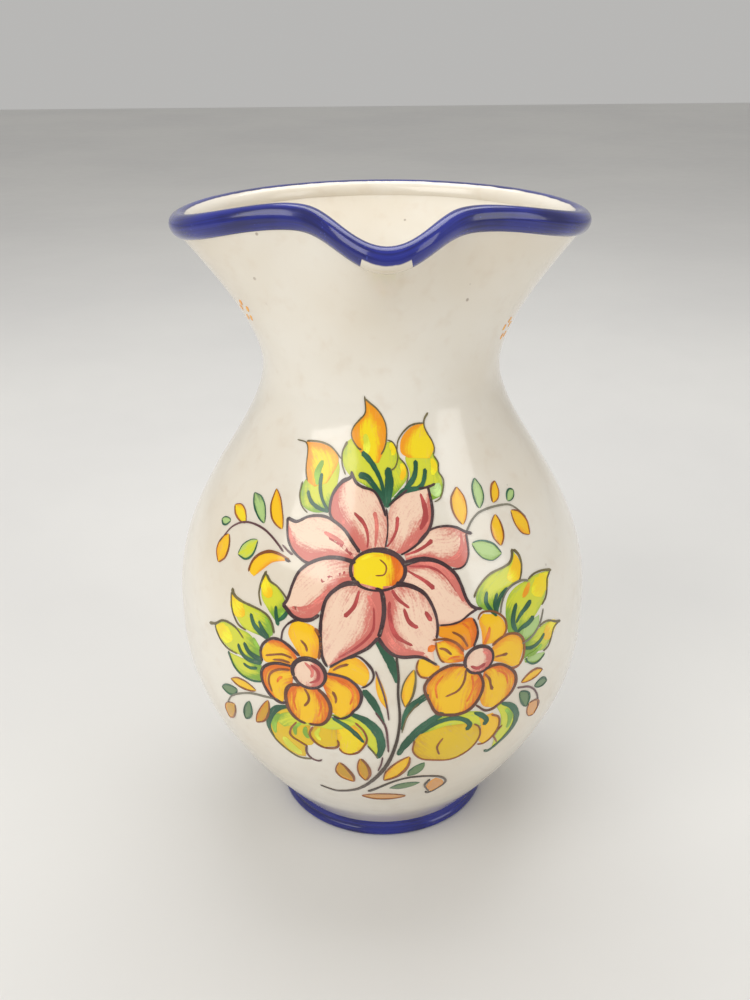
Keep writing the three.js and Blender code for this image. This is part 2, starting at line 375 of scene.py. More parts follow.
def cobalt_material(name, blue_from, blue_to, white_and_highlight_below=0.0):
    """Cobalt between two places round the section, where 0 is outside and 0.25 is the top."""
    glaze, tree, shader, where = start_glaze(name)
    chart = add_node(tree, "ShaderNodeUVMap", {"uv_map": "turning"}, {})
    round_jug, section, unused = split(chart)
    blue = cobalt_colour(where, round_jug * 0.45, section * 0.028)
    wander = (noise(vector_of(round_jug * 60.0, 0.0, 3.0), 1.0, 2.0) - 0.5) * 0.05
    # Under the spout a short stretch of the roll's lower half is coloured white, not blue: partly the white
    # underside beneath the curl, partly a painted highlight where the roll's underside catches the light.
    x, y, unused = split(where)
    white_and_highlight_stretch = (1 - smooth_step(x.math("ABSOLUTE"), 0.0075, 0.009)) * (1 - smooth_step(y, -0.06, -0.05))
    place = section + wander
    low_edge = white_and_highlight_stretch * white_and_highlight_below + blue_from
    mask = smooth_step(place - low_edge, -0.012, 0.012)
    mask = mask * (1 - smooth_step(place, blue_to - 0.012, blue_to + 0.012))
    rim_line = smooth_step(place, blue_to - 0.035, blue_to - 0.012) * mask
    colour = mixed(mask, white_ground(where), mixed(rim_line * 0.6, blue, COBALT_DEEP))
    plug(tree, shader, Base_Color=colour, Normal=glaze_ripple(where, 0.16),
         Roughness=smooth_step(noise(where, 200.0, 2.0), 0.3, 0.8, 0.12, 0.26))
    return glaze


# 0.38 sets how far up the section the white patch under the spout reaches, white underside and painted
# highlight together.
cobalt_roll = cobalt_material("cobalt_glaze", -0.30, 0.43, 0.38)
cobalt_foot = cobalt_material("cobalt_foot_glaze", -9.0, 9.0)
print("cobalt mixed")

# %% [markdown]
# ## The thrown wall
# Belly and neck are one wall of even thickness, 5 mm, thrown in one piece. Its outline is three
# smooth curves: base to belly, belly to waist, and the flare. The flare's last point moves with
# the direction it faces: the potter pinched the wet lip in on both sides of the spout, and where
# it is pinched it stands up straighter. A grid is bent by that rule for the outside, the inside
# and the edges between them, and the edges are merged, so the clay is one closed skin.

# %% The sizes of the wall
wall_sizes = {
    "Wall": 5.0 * MM, "Floor": 6.0 * MM, "Base Radius": 43.5 * MM, "Base Height": 7.0 * MM,
    "Base Lean": math.radians(39.5), "Base Handle": 63.3 * MM,
    "Belly Radius": 81.6 * MM, "Belly Height": 97.7 * MM,
    "Belly Handle Down": 19.6 * MM, "Belly Handle Up": 43.3 * MM,
    "Waist Radius": 44.5 * MM, "Waist Height": 192.5 * MM,
    "Waist Handle Down": 26.0 * MM, "Waist Handle Up": 13.2 * MM, "Flare Handle": 21.0 * MM,
    "Ring Depth": 0.0024, "Round": 240,
}
lip_sizes = {
    "Lip Radius": 72.2 * MM, "Flare Length": 56.0 * MM, "Flare Curl": 1.43,
    "Pinch Azimuth": math.radians(32.5), "Pinch Depth": 22.0 * MM,
    "Pinch Width To Spout": math.radians(28.0), "Pinch Width To Side": math.radians(34.0),
    "Right Pinch Rise": 2.1 * MM, "Left Pinch Rise": 3.5 * MM,
    "Spout Drop": 5.6 * MM, "Spout Width": math.radians(16.0), "Spout Curl": math.radians(20.0),
}
print("the sizes of the wall: done")

# %% [markdown]
# The lip isn't a circle: where the potter's finger and thumb pinched it, it moves in, and at the
# spout it dips and curls over. One function gives the lip's place for any direction, from a few
# bell-shaped pushes, so the wall and the roll agree on it. Bezier maths then gives the wall's line.

# %% The lip's rule and the wall's curves
def bell(x, width):
    q = x / width
    return (q * q * -1.0).math("EXPONENT")


def lip_place(azimuth, size):
    """Where the lip's roll is at an azimuth: its centre, and the wall's direction there."""
    def pinch(offset):
        to_spout = offset.math("LESS_THAN", 0.0)
        return bell(offset, choose(to_spout, size["Pinch Width To Side"], size["Pinch Width To Spout"]))

    right = pinch(azimuth - size["Pinch Azimuth"])
    left = pinch(-azimuth - size["Pinch Azimuth"])
    spout = bell(azimuth, size["Spout Width"])
    radius = size["Lip Radius"] - size["Pinch Depth"] * (right + left)
    lean = ((radius - size["Waist Radius"]) / size["Flare Length"]).math("ARCSINE")
    height = size["Waist Height"] + size["Flare Length"] * cos(lean)
    height = height + size["Right Pinch Rise"] * right + size["Left Pinch Rise"] * left
    height = height - size["Spout Drop"] * spout
    curl = size["Flare Curl"] * lean + size["Spout Curl"] * spout
    return (radius, height), (sin(curl), cos(curl))


def bezier(t, points):
    s = 1 - t
    shares = (s * s * s, s * s * t * 3, s * t * t * 3, t * t * t)
    return tuple(sum((share * point[i] for share, point in zip(shares[1:], points[1:])),
                     shares[0] * points[0][i]) for i in (0, 1))


def bezier_slope(t, points):
    s = 1 - t
    shares = (s * s, s * t * 2, t * t)
    steps = [tuple(b[i] - a[i] for i in (0, 1)) for a, b in zip(points, points[1:])]
    return tuple(shares[0] * steps[0][i] + shares[1] * steps[1][i] + shares[2] * steps[2][i]
                 for i in (0, 1))


def beside(t, points, depth):
    """A place on the curve, moved inwards by a depth."""
    r, z = bezier(t, points)
    dr, dz = bezier_slope(t, points)
    length = (dr * dr + dz * dz).math("SQRT")
    return r - dz / length * depth, z + dr / length * depth


def lower_curve(size):
    lean, handle = size["Base Lean"], size["Base Handle"]
    base = (size["Base Radius"], size["Base Height"])
    return [base, (base[0] + sin(lean) * handle, base[1] + cos(lean) * handle),
            (size["Belly Radius"], size["Belly Height"] - size["Belly Handle Down"]),
            (size["Belly Radius"], size["Belly Height"])]


def upper_curve(size):
    return [(size["Belly Radius"], size["Belly Height"]),
            (size["Belly Radius"], size["Belly Height"] + size["Belly Handle Up"]),
            (size["Waist Radius"], size["Waist Height"] - size["Waist Handle Down"]),
            (size["Waist Radius"], size["Waist Height"])]


ROLL_SEAT = (3.0 * MM, 1.5 * MM)


def flare_curve(azimuth, size):
    centre, (out, up) = lip_place(azimuth, size)
    end = (centre[0] + up * ROLL_SEAT[0] - out * ROLL_SEAT[1],
           centre[1] - out * ROLL_SEAT[0] - up * ROLL_SEAT[1])
    return [(size["Waist Radius"], size["Waist Height"]),
            (size["Waist Radius"], size["Waist Height"] + size["Waist Handle Up"]),
            (end[0] - out * size["Flare Handle"], end[1] - up * size["Flare Handle"]), end]


print("outline rules ready")

# %% [markdown]
# A thrown pot is one outline carried round its axis. A flat grid could be modelled and then spun,
# but the outline here changes with the direction, so every point of a grid is placed by the rule.

# %% Bending a grid round the axis
def round_place(r, z, azimuth):
    return vector_of(r * sin(azimuth), AXIS_Y - r * cos(azimuth), z)


def bent_grid(tree, columns, rows, rule):
    """A grid whose first direction runs round the jug and whose second climbs the rule."""
    grid = add_node(tree, "GeometryNodeMeshGrid", {}, {"Size X": 1.0, "Size Y": 1.0,
    "Vertices Y": rows + 1})
    socket = grid.socket.node.inputs["Vertices X"]
    if isinstance(columns, Wire):
        tree.links.new((columns + 1).socket, socket)
    else:
        socket.default_value = columns + 1
    u, v, unused = split(grid.out("UV Map"))
    place, chart = rule(u, v)
    stored = grid.node("GeometryNodeStoreNamedAttribute", {"data_type": "FLOAT2", "domain": "CORNER"},
                       {"Geometry": grid, "Name": "turning", "Value": chart})
    return stored.node("GeometryNodeSetPosition", {}, {"Geometry": stored, "Position": place})


def full_turn(u):
    return (u - 0.5) * (2 * math.pi)


def thrown_wall_group():
    tree, size = geometry_group("thrown_wall", {**wall_sizes, **lip_sizes})
    lower, upper = lower_curve(size), upper_curve(size)

    def thrown(r, z, azimuth):
        """The mark of the hand: shallow rings and a wall that is not perfectly round."""
        rings = noise(vector_of(azimuth * 0.02, 0.0, z), 120.0, 1.0)
        sway = noise(vector_of(sin(azimuth) * 0.5, cos(azimuth) * 0.5, z * 9.0), 1.0, 1.0)
        shrink = 1 - size["Ring Depth"] * (rings * 1.3 + sway + 0.9)
        return round_place(r * shrink, z, azimuth)

    def stretch(rows, curve, turned_in=False):
        def rule(u, v):
            azimuth = full_turn(u)
            t = 1 - v if turned_in else v
            r, z = beside(t, curve(azimuth), size["Wall"] if turned_in else 0.0)
            floor = size["Base Height"] + size["Floor"]
            if turned_in:
                z = z.math("MAXIMUM", floor)
            return thrown(r, z, azimuth), vector_of(u, v, 0.0)
        return bent_grid(tree, size["Round"], rows, rule)

    def bridge(rows, start, end):
        """Straight rows between two places of the outline."""
        def rule(u, v):
            azimuth = full_turn(u)
            (r0, z0), (r1, z1) = start(azimuth), end(azimuth)
            return thrown(choose(v, r0, r1), choose(v, z0, z1), azimuth), vector_of(u, v, 0.0)
        return bent_grid(tree, size["Round"], rows, rule)

    def at(curve, place, depth):
        def find(azimuth):
            t = azimuth * 0 + place
            return beside(t, curve(azimuth), depth)
        return find

    def flare(azimuth):
        return flare_curve(azimuth, size)

    def lower_of(azimuth):
        return lower

    def upper_of(azimuth):
        return upper

    under = size["Base Height"] - 0.9 * MM
    floor_edge = at(lower_of, 0.0, size["Wall"])
    floor = size["Base Height"] + size["Floor"]
    parts = [
        bridge(8, lambda a: (a * 0, under), lambda a: (size["Base Radius"] - 1.6 * MM, under)),
        bridge(2, lambda a: (size["Base Radius"] - 1.6 * MM, under),
               lambda a: (size["Base Radius"] - 0.5 * MM, under + 0.25 * MM)),
        bridge(2, lambda a: (size["Base Radius"] - 0.5 * MM, under + 0.25 * MM), at(lower_of, 0.0, 0.0)),
        stretch(46, lower_of), stretch(50, upper_of), stretch(44, flare),
        bridge(3, at(flare, 1.0, 0.0), at(flare, 1.0, size["Wall"])),
        stretch(30, flare, True), stretch(28, upper_of, True), stretch(30, lower_of, True),
        bridge(8, lambda a: (floor_edge(a)[0], floor), lambda a: (a * 0, floor)),
    ]
    finish_group(tree, size, merged(joined(parts)))
    return tree


wall_tree = thrown_wall_group()
jug_wall = made_by(wall_tree, "jug_wall", {**wall_sizes, **lip_sizes}, white_glaze)
print("bending a grid round the axis: done")

# %% [markdown]
# ## The rolled lip
# The potter folds the lip outwards into a soft roll, which makes it strong and gives the brush a
# track. Its section is an oval that stands on the wall, square to it, so it turns over at the
# spout with the wall. The same lip rule places it.

# %% The rolled lip
roll_sizes = {"Half Thickness": 4.2 * MM, "Half Height": 4.6 * MM, "Waver": 0.05,
              "Waist Radius": wall_sizes["Waist Radius"], "Waist Height": wall_sizes["Waist Height"],
              "Round": 240, "Section": 26}


def lip_roll_group():
    tree, size = geometry_group("lip_roll", {**roll_sizes, **lip_sizes})

    def rule(u, v):
        azimuth = full_turn(u)
        (r, z), (out, up) = lip_place(azimuth, size)
        section = v - 0.25
        turn = section * (2 * math.pi)
        hand = noise(vector_of(sin(azimuth) * 3, cos(azimuth) * 3, 0.0), 1.0, 1.0)
        slack = 1 - size["Waver"] * hand
        outwards = size["Half Thickness"] * slack * cos(turn)
        along = size["Half Height"] * slack * sin(turn)
        place = round_place(r + up * outwards + out * along, z - out * outwards + up * along, azimuth)
        return place, vector_of(u, section, 0.0)

    finish_group(tree, size, merged(bent_grid(tree, size["Round"], size["Section"], rule)))
    return tree


jug_lip = made_by(lip_roll_group(), "rolled_lip", {**roll_sizes, **lip_sizes}, cobalt_roll)
print("the rolled lip: done")

# %% [markdown]
# ## The foot
# After a day of drying the jug is turned upside down on the wheel and the foot is cut from the
# base with a loop tool. The tool leaves crisp edges, which the sponge then rounds, and one
# shallow groove. The section is four corners with a small fillet, carried round the axis.

# %% The turned foot
foot_sizes = {"Bottom Radius": 44.4 * MM, "Top Radius": 42.6 * MM, "Inner Radius": 34.6 * MM,
              "Height": 6.9 * MM, "Edge": 1.2 * MM, "Groove Height": 3.4 * MM,
              "Groove Depth": 0.45 * MM, "Round": 200}


def turned_foot_group():
    tree, size = geometry_group("turned_foot", foot_sizes)
    corners = {"Point 1": vector_of(size["Bottom Radius"], 0.0, 0.0),
               "Point 2": vector_of(size["Top Radius"], size["Height"], 0.0),
               "Point 3": vector_of(size["Inner Radius"], size["Height"], 0.0),
               "Point 4": vector_of(size["Inner Radius"], 0.0, 0.0)}
    section = add_node(tree, "GeometryNodeCurvePrimitiveQuadrilateral", {"mode": "POINTS"}, corners)
    section = section.node("GeometryNodeFilletCurve", {"mode": "POLY"},
                           {"Curve": section, "Radius": size["Edge"], "Count": 5})

    def rule(u, v):
        sample = section.node("GeometryNodeSampleCurve", {"mode": "FACTOR", "use_all_curves": True},
                              {"Curves": section, "Factor": v}, "Position")
        r, z, unused = split(sample)
        azimuth = full_turn(u)
        outside = smooth_step(r, 41.0 * MM, 42.0 * MM)
        groove = bell(z - size["Groove Height"], 0.6 * MM) * size["Groove Depth"] * outside
        wobble = noise(vector_of(sin(azimuth) * 2, cos(azimuth) * 2, z * 60.0), 1.0, 1.0) * 0.004
        return round_place((r - groove) * (1 - wobble), z, azimuth), vector_of(u, v, 0.0)

    finish_group(tree, size, merged(bent_grid(tree, size["Round"], 72, rule)))
    return tree


jug_foot = made_by(turned_foot_group(), "turned_foot", foot_sizes, cobalt_foot)
print("the turned foot: done")

# %% [markdown]
# ## The handle
# The handle is pulled: a carrot of wet clay is stroked into a strap, bent over and pressed on
# under the lip and on the shoulder. It is widest where it is pressed on and swells there into
# the wall. A curve through a few places gives its line; an oval is swept along that line, with
# its width and thickness changing along the way.

# %% The pulled handle
WALL_BEHIND = 74.4
LIP_BACK = (72.2, 241.2)
TOP_OF_STRAP = LIP_BACK[1] - 7.6
STRAP_REACH = 108.0
strap_line = [(LIP_BACK[0] - 5.5, TOP_OF_STRAP - 1), (81.2, TOP_OF_STRAP + 1.5),
              (93.7, TOP_OF_STRAP - 1), (STRAP_REACH - 4, TOP_OF_STRAP - 10.4),
              (STRAP_REACH, TOP_OF_STRAP - 28), (STRAP_REACH - 3, TOP_OF_STRAP - 51.8),
              (STRAP_REACH - 11, TOP_OF_STRAP - 74.6), (WALL_BEHIND + 12.4, 140.0),
              (WALL_BEHIND - 2.4, 127.6)]
strap_sizes = {"Top Width": 28.0 * MM, "Middle Width": 21.0 * MM, "Foot Width": 26.0 * MM,
               "Thickness": 9.0 * MM, "Root Swell": 3.2 * MM, "Around": 40, "Along": 150}


def strap_handle_group():
    tree, size = geometry_group("strap_handle", strap_sizes)
    start = Wire(next(n for n in tree.nodes if n.bl_idname == "NodeGroupInput").outputs["Geometry"])
    line = start.node("GeometryNodeMeshToCurve", {}, {"Mesh": start})
    line = line.node("GeometryNodeCurveSplineType", {"spline_type": "CATMULL_ROM"}, {"Curve": line})
    line = line.node("GeometryNodeResampleCurve", {}, {"Curve": line, "Count": 160})

    def rule(u, v):
        sample = line.node("GeometryNodeSampleCurve", {"mode": "FACTOR", "use_all_curves": True},
                           {"Curves": line, "Factor": v}, "Position")
        tangent = sample.out("Tangent")
        across = tangent.node("ShaderNodeVectorMath", {"operation": "CROSS_PRODUCT"},
                              {0: tangent, 1: (1.0, 0.0, 0.0)})
        near_top, near_foot = bell(v, 0.22), bell(1 - v, 0.2)
        width = size["Middle Width"] + near_top * (size["Top Width"] - size["Middle Width"])
        width = width + near_foot * (size["Foot Width"] - size["Middle Width"])
        root = bell(v, 0.045) + bell(1 - v, 0.05)
        cap = smooth_step(v, 0.0, 0.012) * smooth_step(1 - v, 0.0, 0.012)
        half_width = (width * 0.5 + size["Root Swell"] * root) * cap
        half_thick = (size["Thickness"] * 0.5 + size["Root Swell"] * root) * cap
        turn = u * (2 * math.pi)
        pull = 1 - (noise(vector_of(u * 6, v * 3, 1.0), 1.0, 1.0)) * 0.03
        side = cos(turn) * half_width * pull
        spine = 1 - 0.10 * bell(cos(turn), 0.35)
        place = sample + across * (sin(turn) * half_thick * spine * pull) + vector_of(side, 0.0, 0.0)
        return place, vector_of(u, v, 0.0)

    finish_group(tree, size, merged(bent_grid(tree, size["Around"], size["Along"], rule)))
    return tree


strap_mesh = bpy.data.meshes.new("strap_line")
strap_mesh.from_pydata([(0.0, AXIS_Y + y * MM, z * MM) for y, z in strap_line],
                       [(i, i + 1) for i in range(len(strap_line) - 1)], [])
jug_handle = made_by(strap_handle_group(), "strap_handle", strap_sizes, white_glaze, strap_mesh)
print("the pulled handle: done")

# %% [markdown]
# ## How the painting is made
# The decoration is brushed on before the last firing: first watery washes, then darker strokes of
# the same colour, then a thin dark outline that closes each shape. Here it is laid out flat, like
# a pattern on paper, in millimetres: across is measured round the belly, up is measured along the
# wall from its widest circle. A wash is the sheet between a left and a right edge. A stroke is a
# line with a width that swells and tapers. Geometry Nodes then bend the paper onto the clay: each
# point finds its place on the outline, shoots a ray at the real wall, and stands a hair above it.

# %% The painter's colours
INK = srgb(60, 35, 38)
BROWN = srgb(134, 74, 24)
OLIVE = srgb(98, 88, 50)
PLUM = srgb(92, 56, 60)
GREY_LINE = srgb(112, 108, 92)
ROSE = srgb(216, 118, 106)
ROSE_DARK = srgb(176, 68, 66)
BLUSH = srgb(250, 216, 190)
ORANGE = srgb(232, 112, 4)
AMBER = srgb(248, 160, 6)
SUN = srgb(254, 202, 8)
LEMON = srgb(252, 224, 4)
LIME = srgb(218, 222, 52)
LEAF = srgb(132, 176, 48)
PINE = srgb(24, 84, 56)
SAGE = srgb(104, 136, 88)
OCHRE = srgb(212, 160, 10)
PEACH = srgb(228, 162, 88)
MINT = srgb(180, 212, 132)
GOLD = srgb(236, 198, 14)
MAROON = srgb(92, 48, 26)
STEM_BROWN = srgb(64, 50, 40)
print("the painter's colours: done")

# %% [markdown]
# These helpers keep the painting as plain lists: which glaze slot, which colours, and where the
# brush went. A soft curve through a few places is enough, since a brush can't turn sharply.

# %% Laying out washes and strokes on paper
washes, strokes = {}, {}
SHEET_ROWS, SHEET_COLUMNS = 22, 12


def pairs(numbers):
    return np.array(numbers, float).reshape(-1, 2)


def smooth_path(points, count):
    """Points evenly spaced along a soft curve through a few places."""
    ends = np.vstack([2 * points[0] - points[1], points, 2 * points[-1] - points[-2]])
    fine = []
    for a, b, c, d in zip(ends, ends[1:], ends[2:], ends[3:]):
        t = np.linspace(0, 1, 12, endpoint=False)[:, None]
        fine.append(0.5 * (2 * b + (c - a) * t + (2 * a - 5 * b + 4 * c - d) * t ** 2
                           + (3 * b - a - 3 * c + d) * t ** 3))
    fine = np.vstack(fine + [points[-1:]])
    reach = np.concatenate([[0], np.cumsum(np.hypot(*np.diff(fine, axis=0).T))])
    even = np.linspace(0, reach[-1], count)
    return np.column_stack([np.interp(even, reach, fine[:, i]) for i in (0, 1)])


def edges(left=0.0, right=0.0, base=0.0, tip=0.0):
    """Deep colour gathered along the edges, the base or the tip of a wash."""
    def shade(u, v):
        side = left * np.clip(1 - u / 0.42, 0, 1) + right * np.clip(1 - (1 - u) / 0.42, 0, 1)
        return np.clip(side + base * np.clip(1 - v / 0.4, 0, 1) + tip * np.clip((v - 0.45) / 0.5, 0,
        1), 0, 1)
    return shade


def wash(slot, deep, light, shade, layer, left, right):
    washes.setdefault(slot, []).append((deep, light, shade, layer, pairs(left), pairs(right)))


def stroke(slot, colour, widths, *numbers, layer=5, light=None):
    strokes.setdefault(slot, []).append((colour, light or colour, widths, layer, pairs(numbers)))


def ink(widths, *numbers, colour=INK):
    stroke("line_paint", colour, widths, *numbers, layer=7)


def small_leaf(slot, deep, light, base, tip, half_width, bend=0.0, line=None, line_width=0.25):
    """A small pressed-brush leaf from its base to its tip, with a thin line along both sides."""
    base, tip = np.array(base, float), np.array(tip, float)
    along = tip - base
    side = np.array([-along[1], along[0]]) / max(np.hypot(*along), 0.01)
    mid = [base + along * share + side * bend * math.sin(math.pi * share)
           for share in (0, .16, .4, .7, .9, 1)]
    bulge = (0.1, 0.75, 1.2, 1.15, 0.5, 0.03)
    left = [m + side * half_width * b for m, b in zip(mid, bulge)]
    right = [m - side * half_width * b for m, b in zip(mid, bulge)]
    wash(slot, deep, light, edges(.3, .5, .2, .3), 2, left, right)
    if line is not None:
        for edge, press in ((left, 1.6), (right, 0.8)):
            stroke("line_paint", line, (line_width * press * .5, line_width * press,
                line_width * press * .6),
                   *np.array(edge).ravel(), layer=7)


print("paper ready")

# %% [markdown]
# ## The rose flower
# Eight petals stand round a yellow eye. Each petal is a pink wash, deepest along one edge and
# nearly white in its middle, with one or two darker strokes pulled out from the eye and a heavy
# outline that swells where the brush pressed.

# %% Petals of the rose
def petal(left, right, shade, layer=3.5):
    wash("rose_paint", ROSE, BLUSH, shade, layer, left, right)


petal((-10, 49.2, -13.6, 52.4, -18.2, 56.4, -22.7, 58.9, -25.9, 61.5, -26.5, 66, -25.4, 69.3, -22.3,
    72.8, -17.5, 75.4),
      (-1.4, 50.4, 0, 56, -.6, 62.6, -3.9, 68.2, -8, 71, -12, 71.8, -15.2, 73, -17.5, 75.4), edges(1,
      .2, .35))
petal((.2, 50.4, .3, 57, .5, 62, 2.5, 66.2, 6, 68.5, 11, 70.4, 16, 70.5, 20.3, 70.6),
      (5, 48.8, 8.5, 49.8, 12.5, 51.8, 16.5, 54.7, 19.3, 58, 20.9, 62, 21, 66, 20.3, 70.6), edges(.1,
      1.1, .4))
petal((6.5, 48.8, 12.5, 51.9, 16.5, 55, 21, 56.5, 26.7, 56.4, 31.3, 55, 35, 52.9),
      (7.3, 46.4, 12.5, 46.7, 18.2, 46, 22.8, 43.6, 28.4, 41.7, 32, 43.5, 33.8, 48, 35, 52.9),
      edges(.1, 1, .4, .5))
petal((6.8, 45, 12.5, 46.3, 18.2, 45.5, 22.7, 43.2, 26.1, 39.9, 27.8, 36, 29, 30.8, 31.3, 27.5, 33.5, 26.4),
      (5, 40, 9.7, 37.4, 13.1, 34.8, 15.3, 31.4, 16.8, 26.8, 17.6, 23.6, 22.2, 23.2, 27, 23.9, 33.5, 26.4),
      edges(1.1, .0, .3))
petal((-2, 38, -1.7, 30.2, -2.8, 23, -2.5, 18.5, 1, 14.5, 6, 13.2, 11, 12.7, 15.6, 9.6),
      (4.5, 38.2, 9.7, 37, 13.5, 34.4, 15.8, 30.5, 17, 25, 16.6, 19.5, 15.2, 14.5, 15.6, 9.6),
      edges(1.2, .15, .5))
petal((-10, 38.8, -15.9, 38.2, -19.9, 35.9, -22.9, 32, -24, 26.5, -24.1, 20, -23.3, 14, -21, 8.8),
      (-3.5, 37.5, -2, 32, -2.2, 26, -4, 20, -7.6, 16.5, -12.5, 13.7, -17, 11.2, -21, 8.8), edges(.1,
      1.1, .4))
petal((-13, 39.3, -18, 37.3, -22, 33.8, -24.3, 29, -27.8, 24.9, -32, 24, -36, 25.5, -39.2, 27.7),
      (-13.6, 45.9, -18.2, 46.7, -24, 46.6, -29.5, 44.6, -34, 41.3, -36.6, 36, -37.8, 30.5, -39.2, 27.7),
      edges(1.1, .1, .45))
petal((-14, 46.4, -20, 47.1, -26, 46.3, -32, 44.2, -37, 45.5, -41, 48.3, -44, 52.8, -45.5, 57),
      (-11.5, 49.2, -14.8, 53, -18.2, 56.4, -24, 59.3, -30, 60.5, -36.4, 59.2, -41, 57, -45.5, 57),
      edges(1, .1, .3))
print("petals of the rose: done")

# %% [markdown]
# When the pink wash has dried a little, a fuller brush pulls a few short darker strokes out from
# the eye. They give each petal its fold.

# %% Darker strokes inside the rose's petals
def rose_stroke(widths, *numbers, colour=ROSE_DARK, layer=4):
    stroke("rose_paint", colour, widths, *numbers, layer=layer)


rose_stroke((.5, .8, .6, .3), -15, 62.8, -10.2, 59.2, -8.2, 54.7, -8.4, 50.8)
rose_stroke((.9, .9, .7, .4), -5.8, 63.4, -4.5, 58.6, -5.1, 51, colour=ROSE)
rose_stroke((.9, .7, .5, .3), 4.7, 61.7, 3.9, 57, 1.4, 53, -.6, 51.2)
rose_stroke((.5, 1.2, 1.3, .6), 16.2, 69, 17.4, 64.8, 17.2, 60.5, 14, 56.4)
rose_stroke((.4, .7, .4), 18.4, 59, 14.6, 54.8, 8.8, 51.2, colour=ROSE)
rose_stroke((.9, .6, .5, .3), 19, 52.6, 15.3, 50.7, 11.4, 49.3, 6.8, 48.3)
rose_stroke((.4, .9, .8, .4), 31.8, 53.2, 31.2, 49.2, 28.4, 46, 23.4, 44.8, colour=ROSE)
rose_stroke((.9, .7, .5, .3), 17.3, 35.9, 14.2, 38.8, 10.8, 41, 7.2, 43.2)
rose_stroke((.5, 1.0, 1.1, .5), 12, 45.1, 19, 44, 24.4, 38.4, 27.9, 29.8, colour=ROSE)
rose_stroke((.3, .5, .5, .3), 8, 44.4, 16, 43.6, 22, 40, 25.8, 33.5)
rose_stroke((.5, .7, .6, .4), 1.2, 37, 3.4, 33.6, 7.6, 30.2)
rose_stroke((.4, .8, .7, .8), 5.4, 30.4, 7.2, 25.4, 10.4, 23.2)
rose_stroke((.5, .8, .9), 13, 28.8, 15.2, 25)
rose_stroke((.5, .8, .8, .4), .4, 33, .3, 28, 2.3, 21.1, 8.2, 17)
rose_stroke((.4, 1.1, 1.0, .5), -1.2, 24, .8, 18.6, 5.4, 15.2, 12.4, 13.8, colour=ROSE)
rose_stroke((.4, .7, .7, .9), -10.8, 36.6, -12.5, 30.8, -16, 27)
rose_stroke((.6, 1.3, 1.2, .6), -7.6, 35, -4.6, 27, -8.6, 19.6, -16, 13.6, colour=ROSE)
rose_stroke((.3, .5, .5, .3), -5.4, 31, -5.6, 23, -10.8, 17, -17.6, 12.2)
rose_stroke((.8, .7, .5, .4), -27.8, 37.2, -22.7, 39.9, -18.2, 41.6, -14.6, 43)
rose_stroke((.5, 1.1, 1.0, .5), -36, 27.6, -29.6, 28.4, -23.8, 33.6, -18.2, 38.6, colour=ROSE)
rose_stroke((.6, .7, .5), -25, 53.6, -19.5, 51.6, -14, 48)
rose_stroke((.6, .8, .5), -27.4, 55.1, -22.4, 53.6, -17.8, 51.8, colour=ROSE)
rose_stroke((.4, .9, .8, .4), -43.6, 54.4, -40.2, 49.6, -33.6, 46.6, -25, 47.8, colour=ROSE)
rose_stroke((.5, 1.0, .8), -23.9, 67.4, -22.2, 62.6, -18.6, 58.6, colour=ROSE)
print("darker strokes inside the rose's petals: done")

# %% [markdown]
# The eye is an oval of lemon yellow with an orange side, and a dark ring with uneven pressure.

# %% The rose's yellow eye
def round_spot(cx, cy, rx, ry):
    """The left and right edges of an oval, from its bottom to its top."""
    steps = [math.radians(v) for v in (-90, -60, -30, 0, 30, 60, 90)]
    left = [(cx - rx * math.cos(a), cy + ry * math.sin(a)) for a in steps]
    right = [(cx + rx * math.cos(a), cy + ry * math.sin(a)) for a in steps]
    return [v for p in left for v in p], [v for p in right for v in p]


def ring_line(cx, cy, rx, ry, widths, colour=INK):
    steps = np.radians(np.linspace(200, 565, 13))
    ink(widths, *np.column_stack([cx + rx * np.cos(steps), cy + ry * np.sin(steps)]).ravel(), colour=colour)


wash("amber_paint", ORANGE, LEMON, edges(0, 1.1), 3, *round_spot(-4, 43.4, 10.4, 6.6))
stroke("amber_paint", BROWN, (.25, .3, .2), -3.4, 47.2, -.8, 45, -1.4, 42, -5, 41.6, layer=5)
stroke("amber_paint", ORANGE, (.6, 1.2, .6), 4.6, 46, 5.4, 42.6, 1.6, 38.6, layer=4)
stroke("amber_paint", SUN, (.4, .6, .3), -10.8, 46.8, -6, 48.4, -1.6, 48.2, layer=4)
ring_line(-4, 43.4, 10.7, 6.9, (.75, .35, .55, .9, 1.0, .5, .75))
print("the rose's yellow eye: done")

# %% [markdown]
# The outline comes last and sits on top of every wash. Its width swells where two petals meet,
# because the brush rests there before it turns.

# %% The rose's outline
ink((.7, .65, .6, .5, .5, .7), -11.2, 49.2, -14.8, 53, -18.2, 56.4, -22.7, 58.9, -27.3, 60.3, -31.8,
    60.3, -36.4, 59.2,
    -40.9, 56.9, -45.8, 57.5)
ink((.4, .65, .7, .75, .8), -23.4, 59.2, -25.9, 61.6, -26.5, 66, -25.4, 69.5, -22.3, 72.9, -19.8, 74,
    -17.7, 74.9,
    -18.1, 77)
ink((.7, .6, .45, .6, .5), -17.7, 76.3, -15.2, 73.2, -11.8, 71.7, -6.7, 70.6, -3.8, 68.2, -1.5, 64.2,
    -.6, 61.6)
ink((.4, .3, .3), -.3, 64.5, .2, 61, .1, 56, -1, 51)
ink((.3, .45, .5), .8, 65.3, 4.7, 67.7, 8.1, 69.4, 10.3, 70.6)
ink((.3, .5, .4), 15.5, 70.6, 20.6, 70.8, 24.7, 71.6)
ink((.6, .7, .6, .45, .3), 20.5, 71, 21, 66, 20.8, 62, 19.3, 58, 16.5, 54.7, 12.5, 51.8, 8, 49.5, 5, 48.4)
ink((.3, .35, .4, .5, .6), 12.6, 52.3, 16.5, 55.2, 21, 56.6, 26.7, 56.5, 31.3, 55.1, 34, 53.4, 37.2, 52.3)
ink((.5, .4, .35, .3), 34.2, 52.9, 33.9, 49, 33.2, 45.6, 31.3, 42.7, 28.4, 41.5, 25, 41.8)
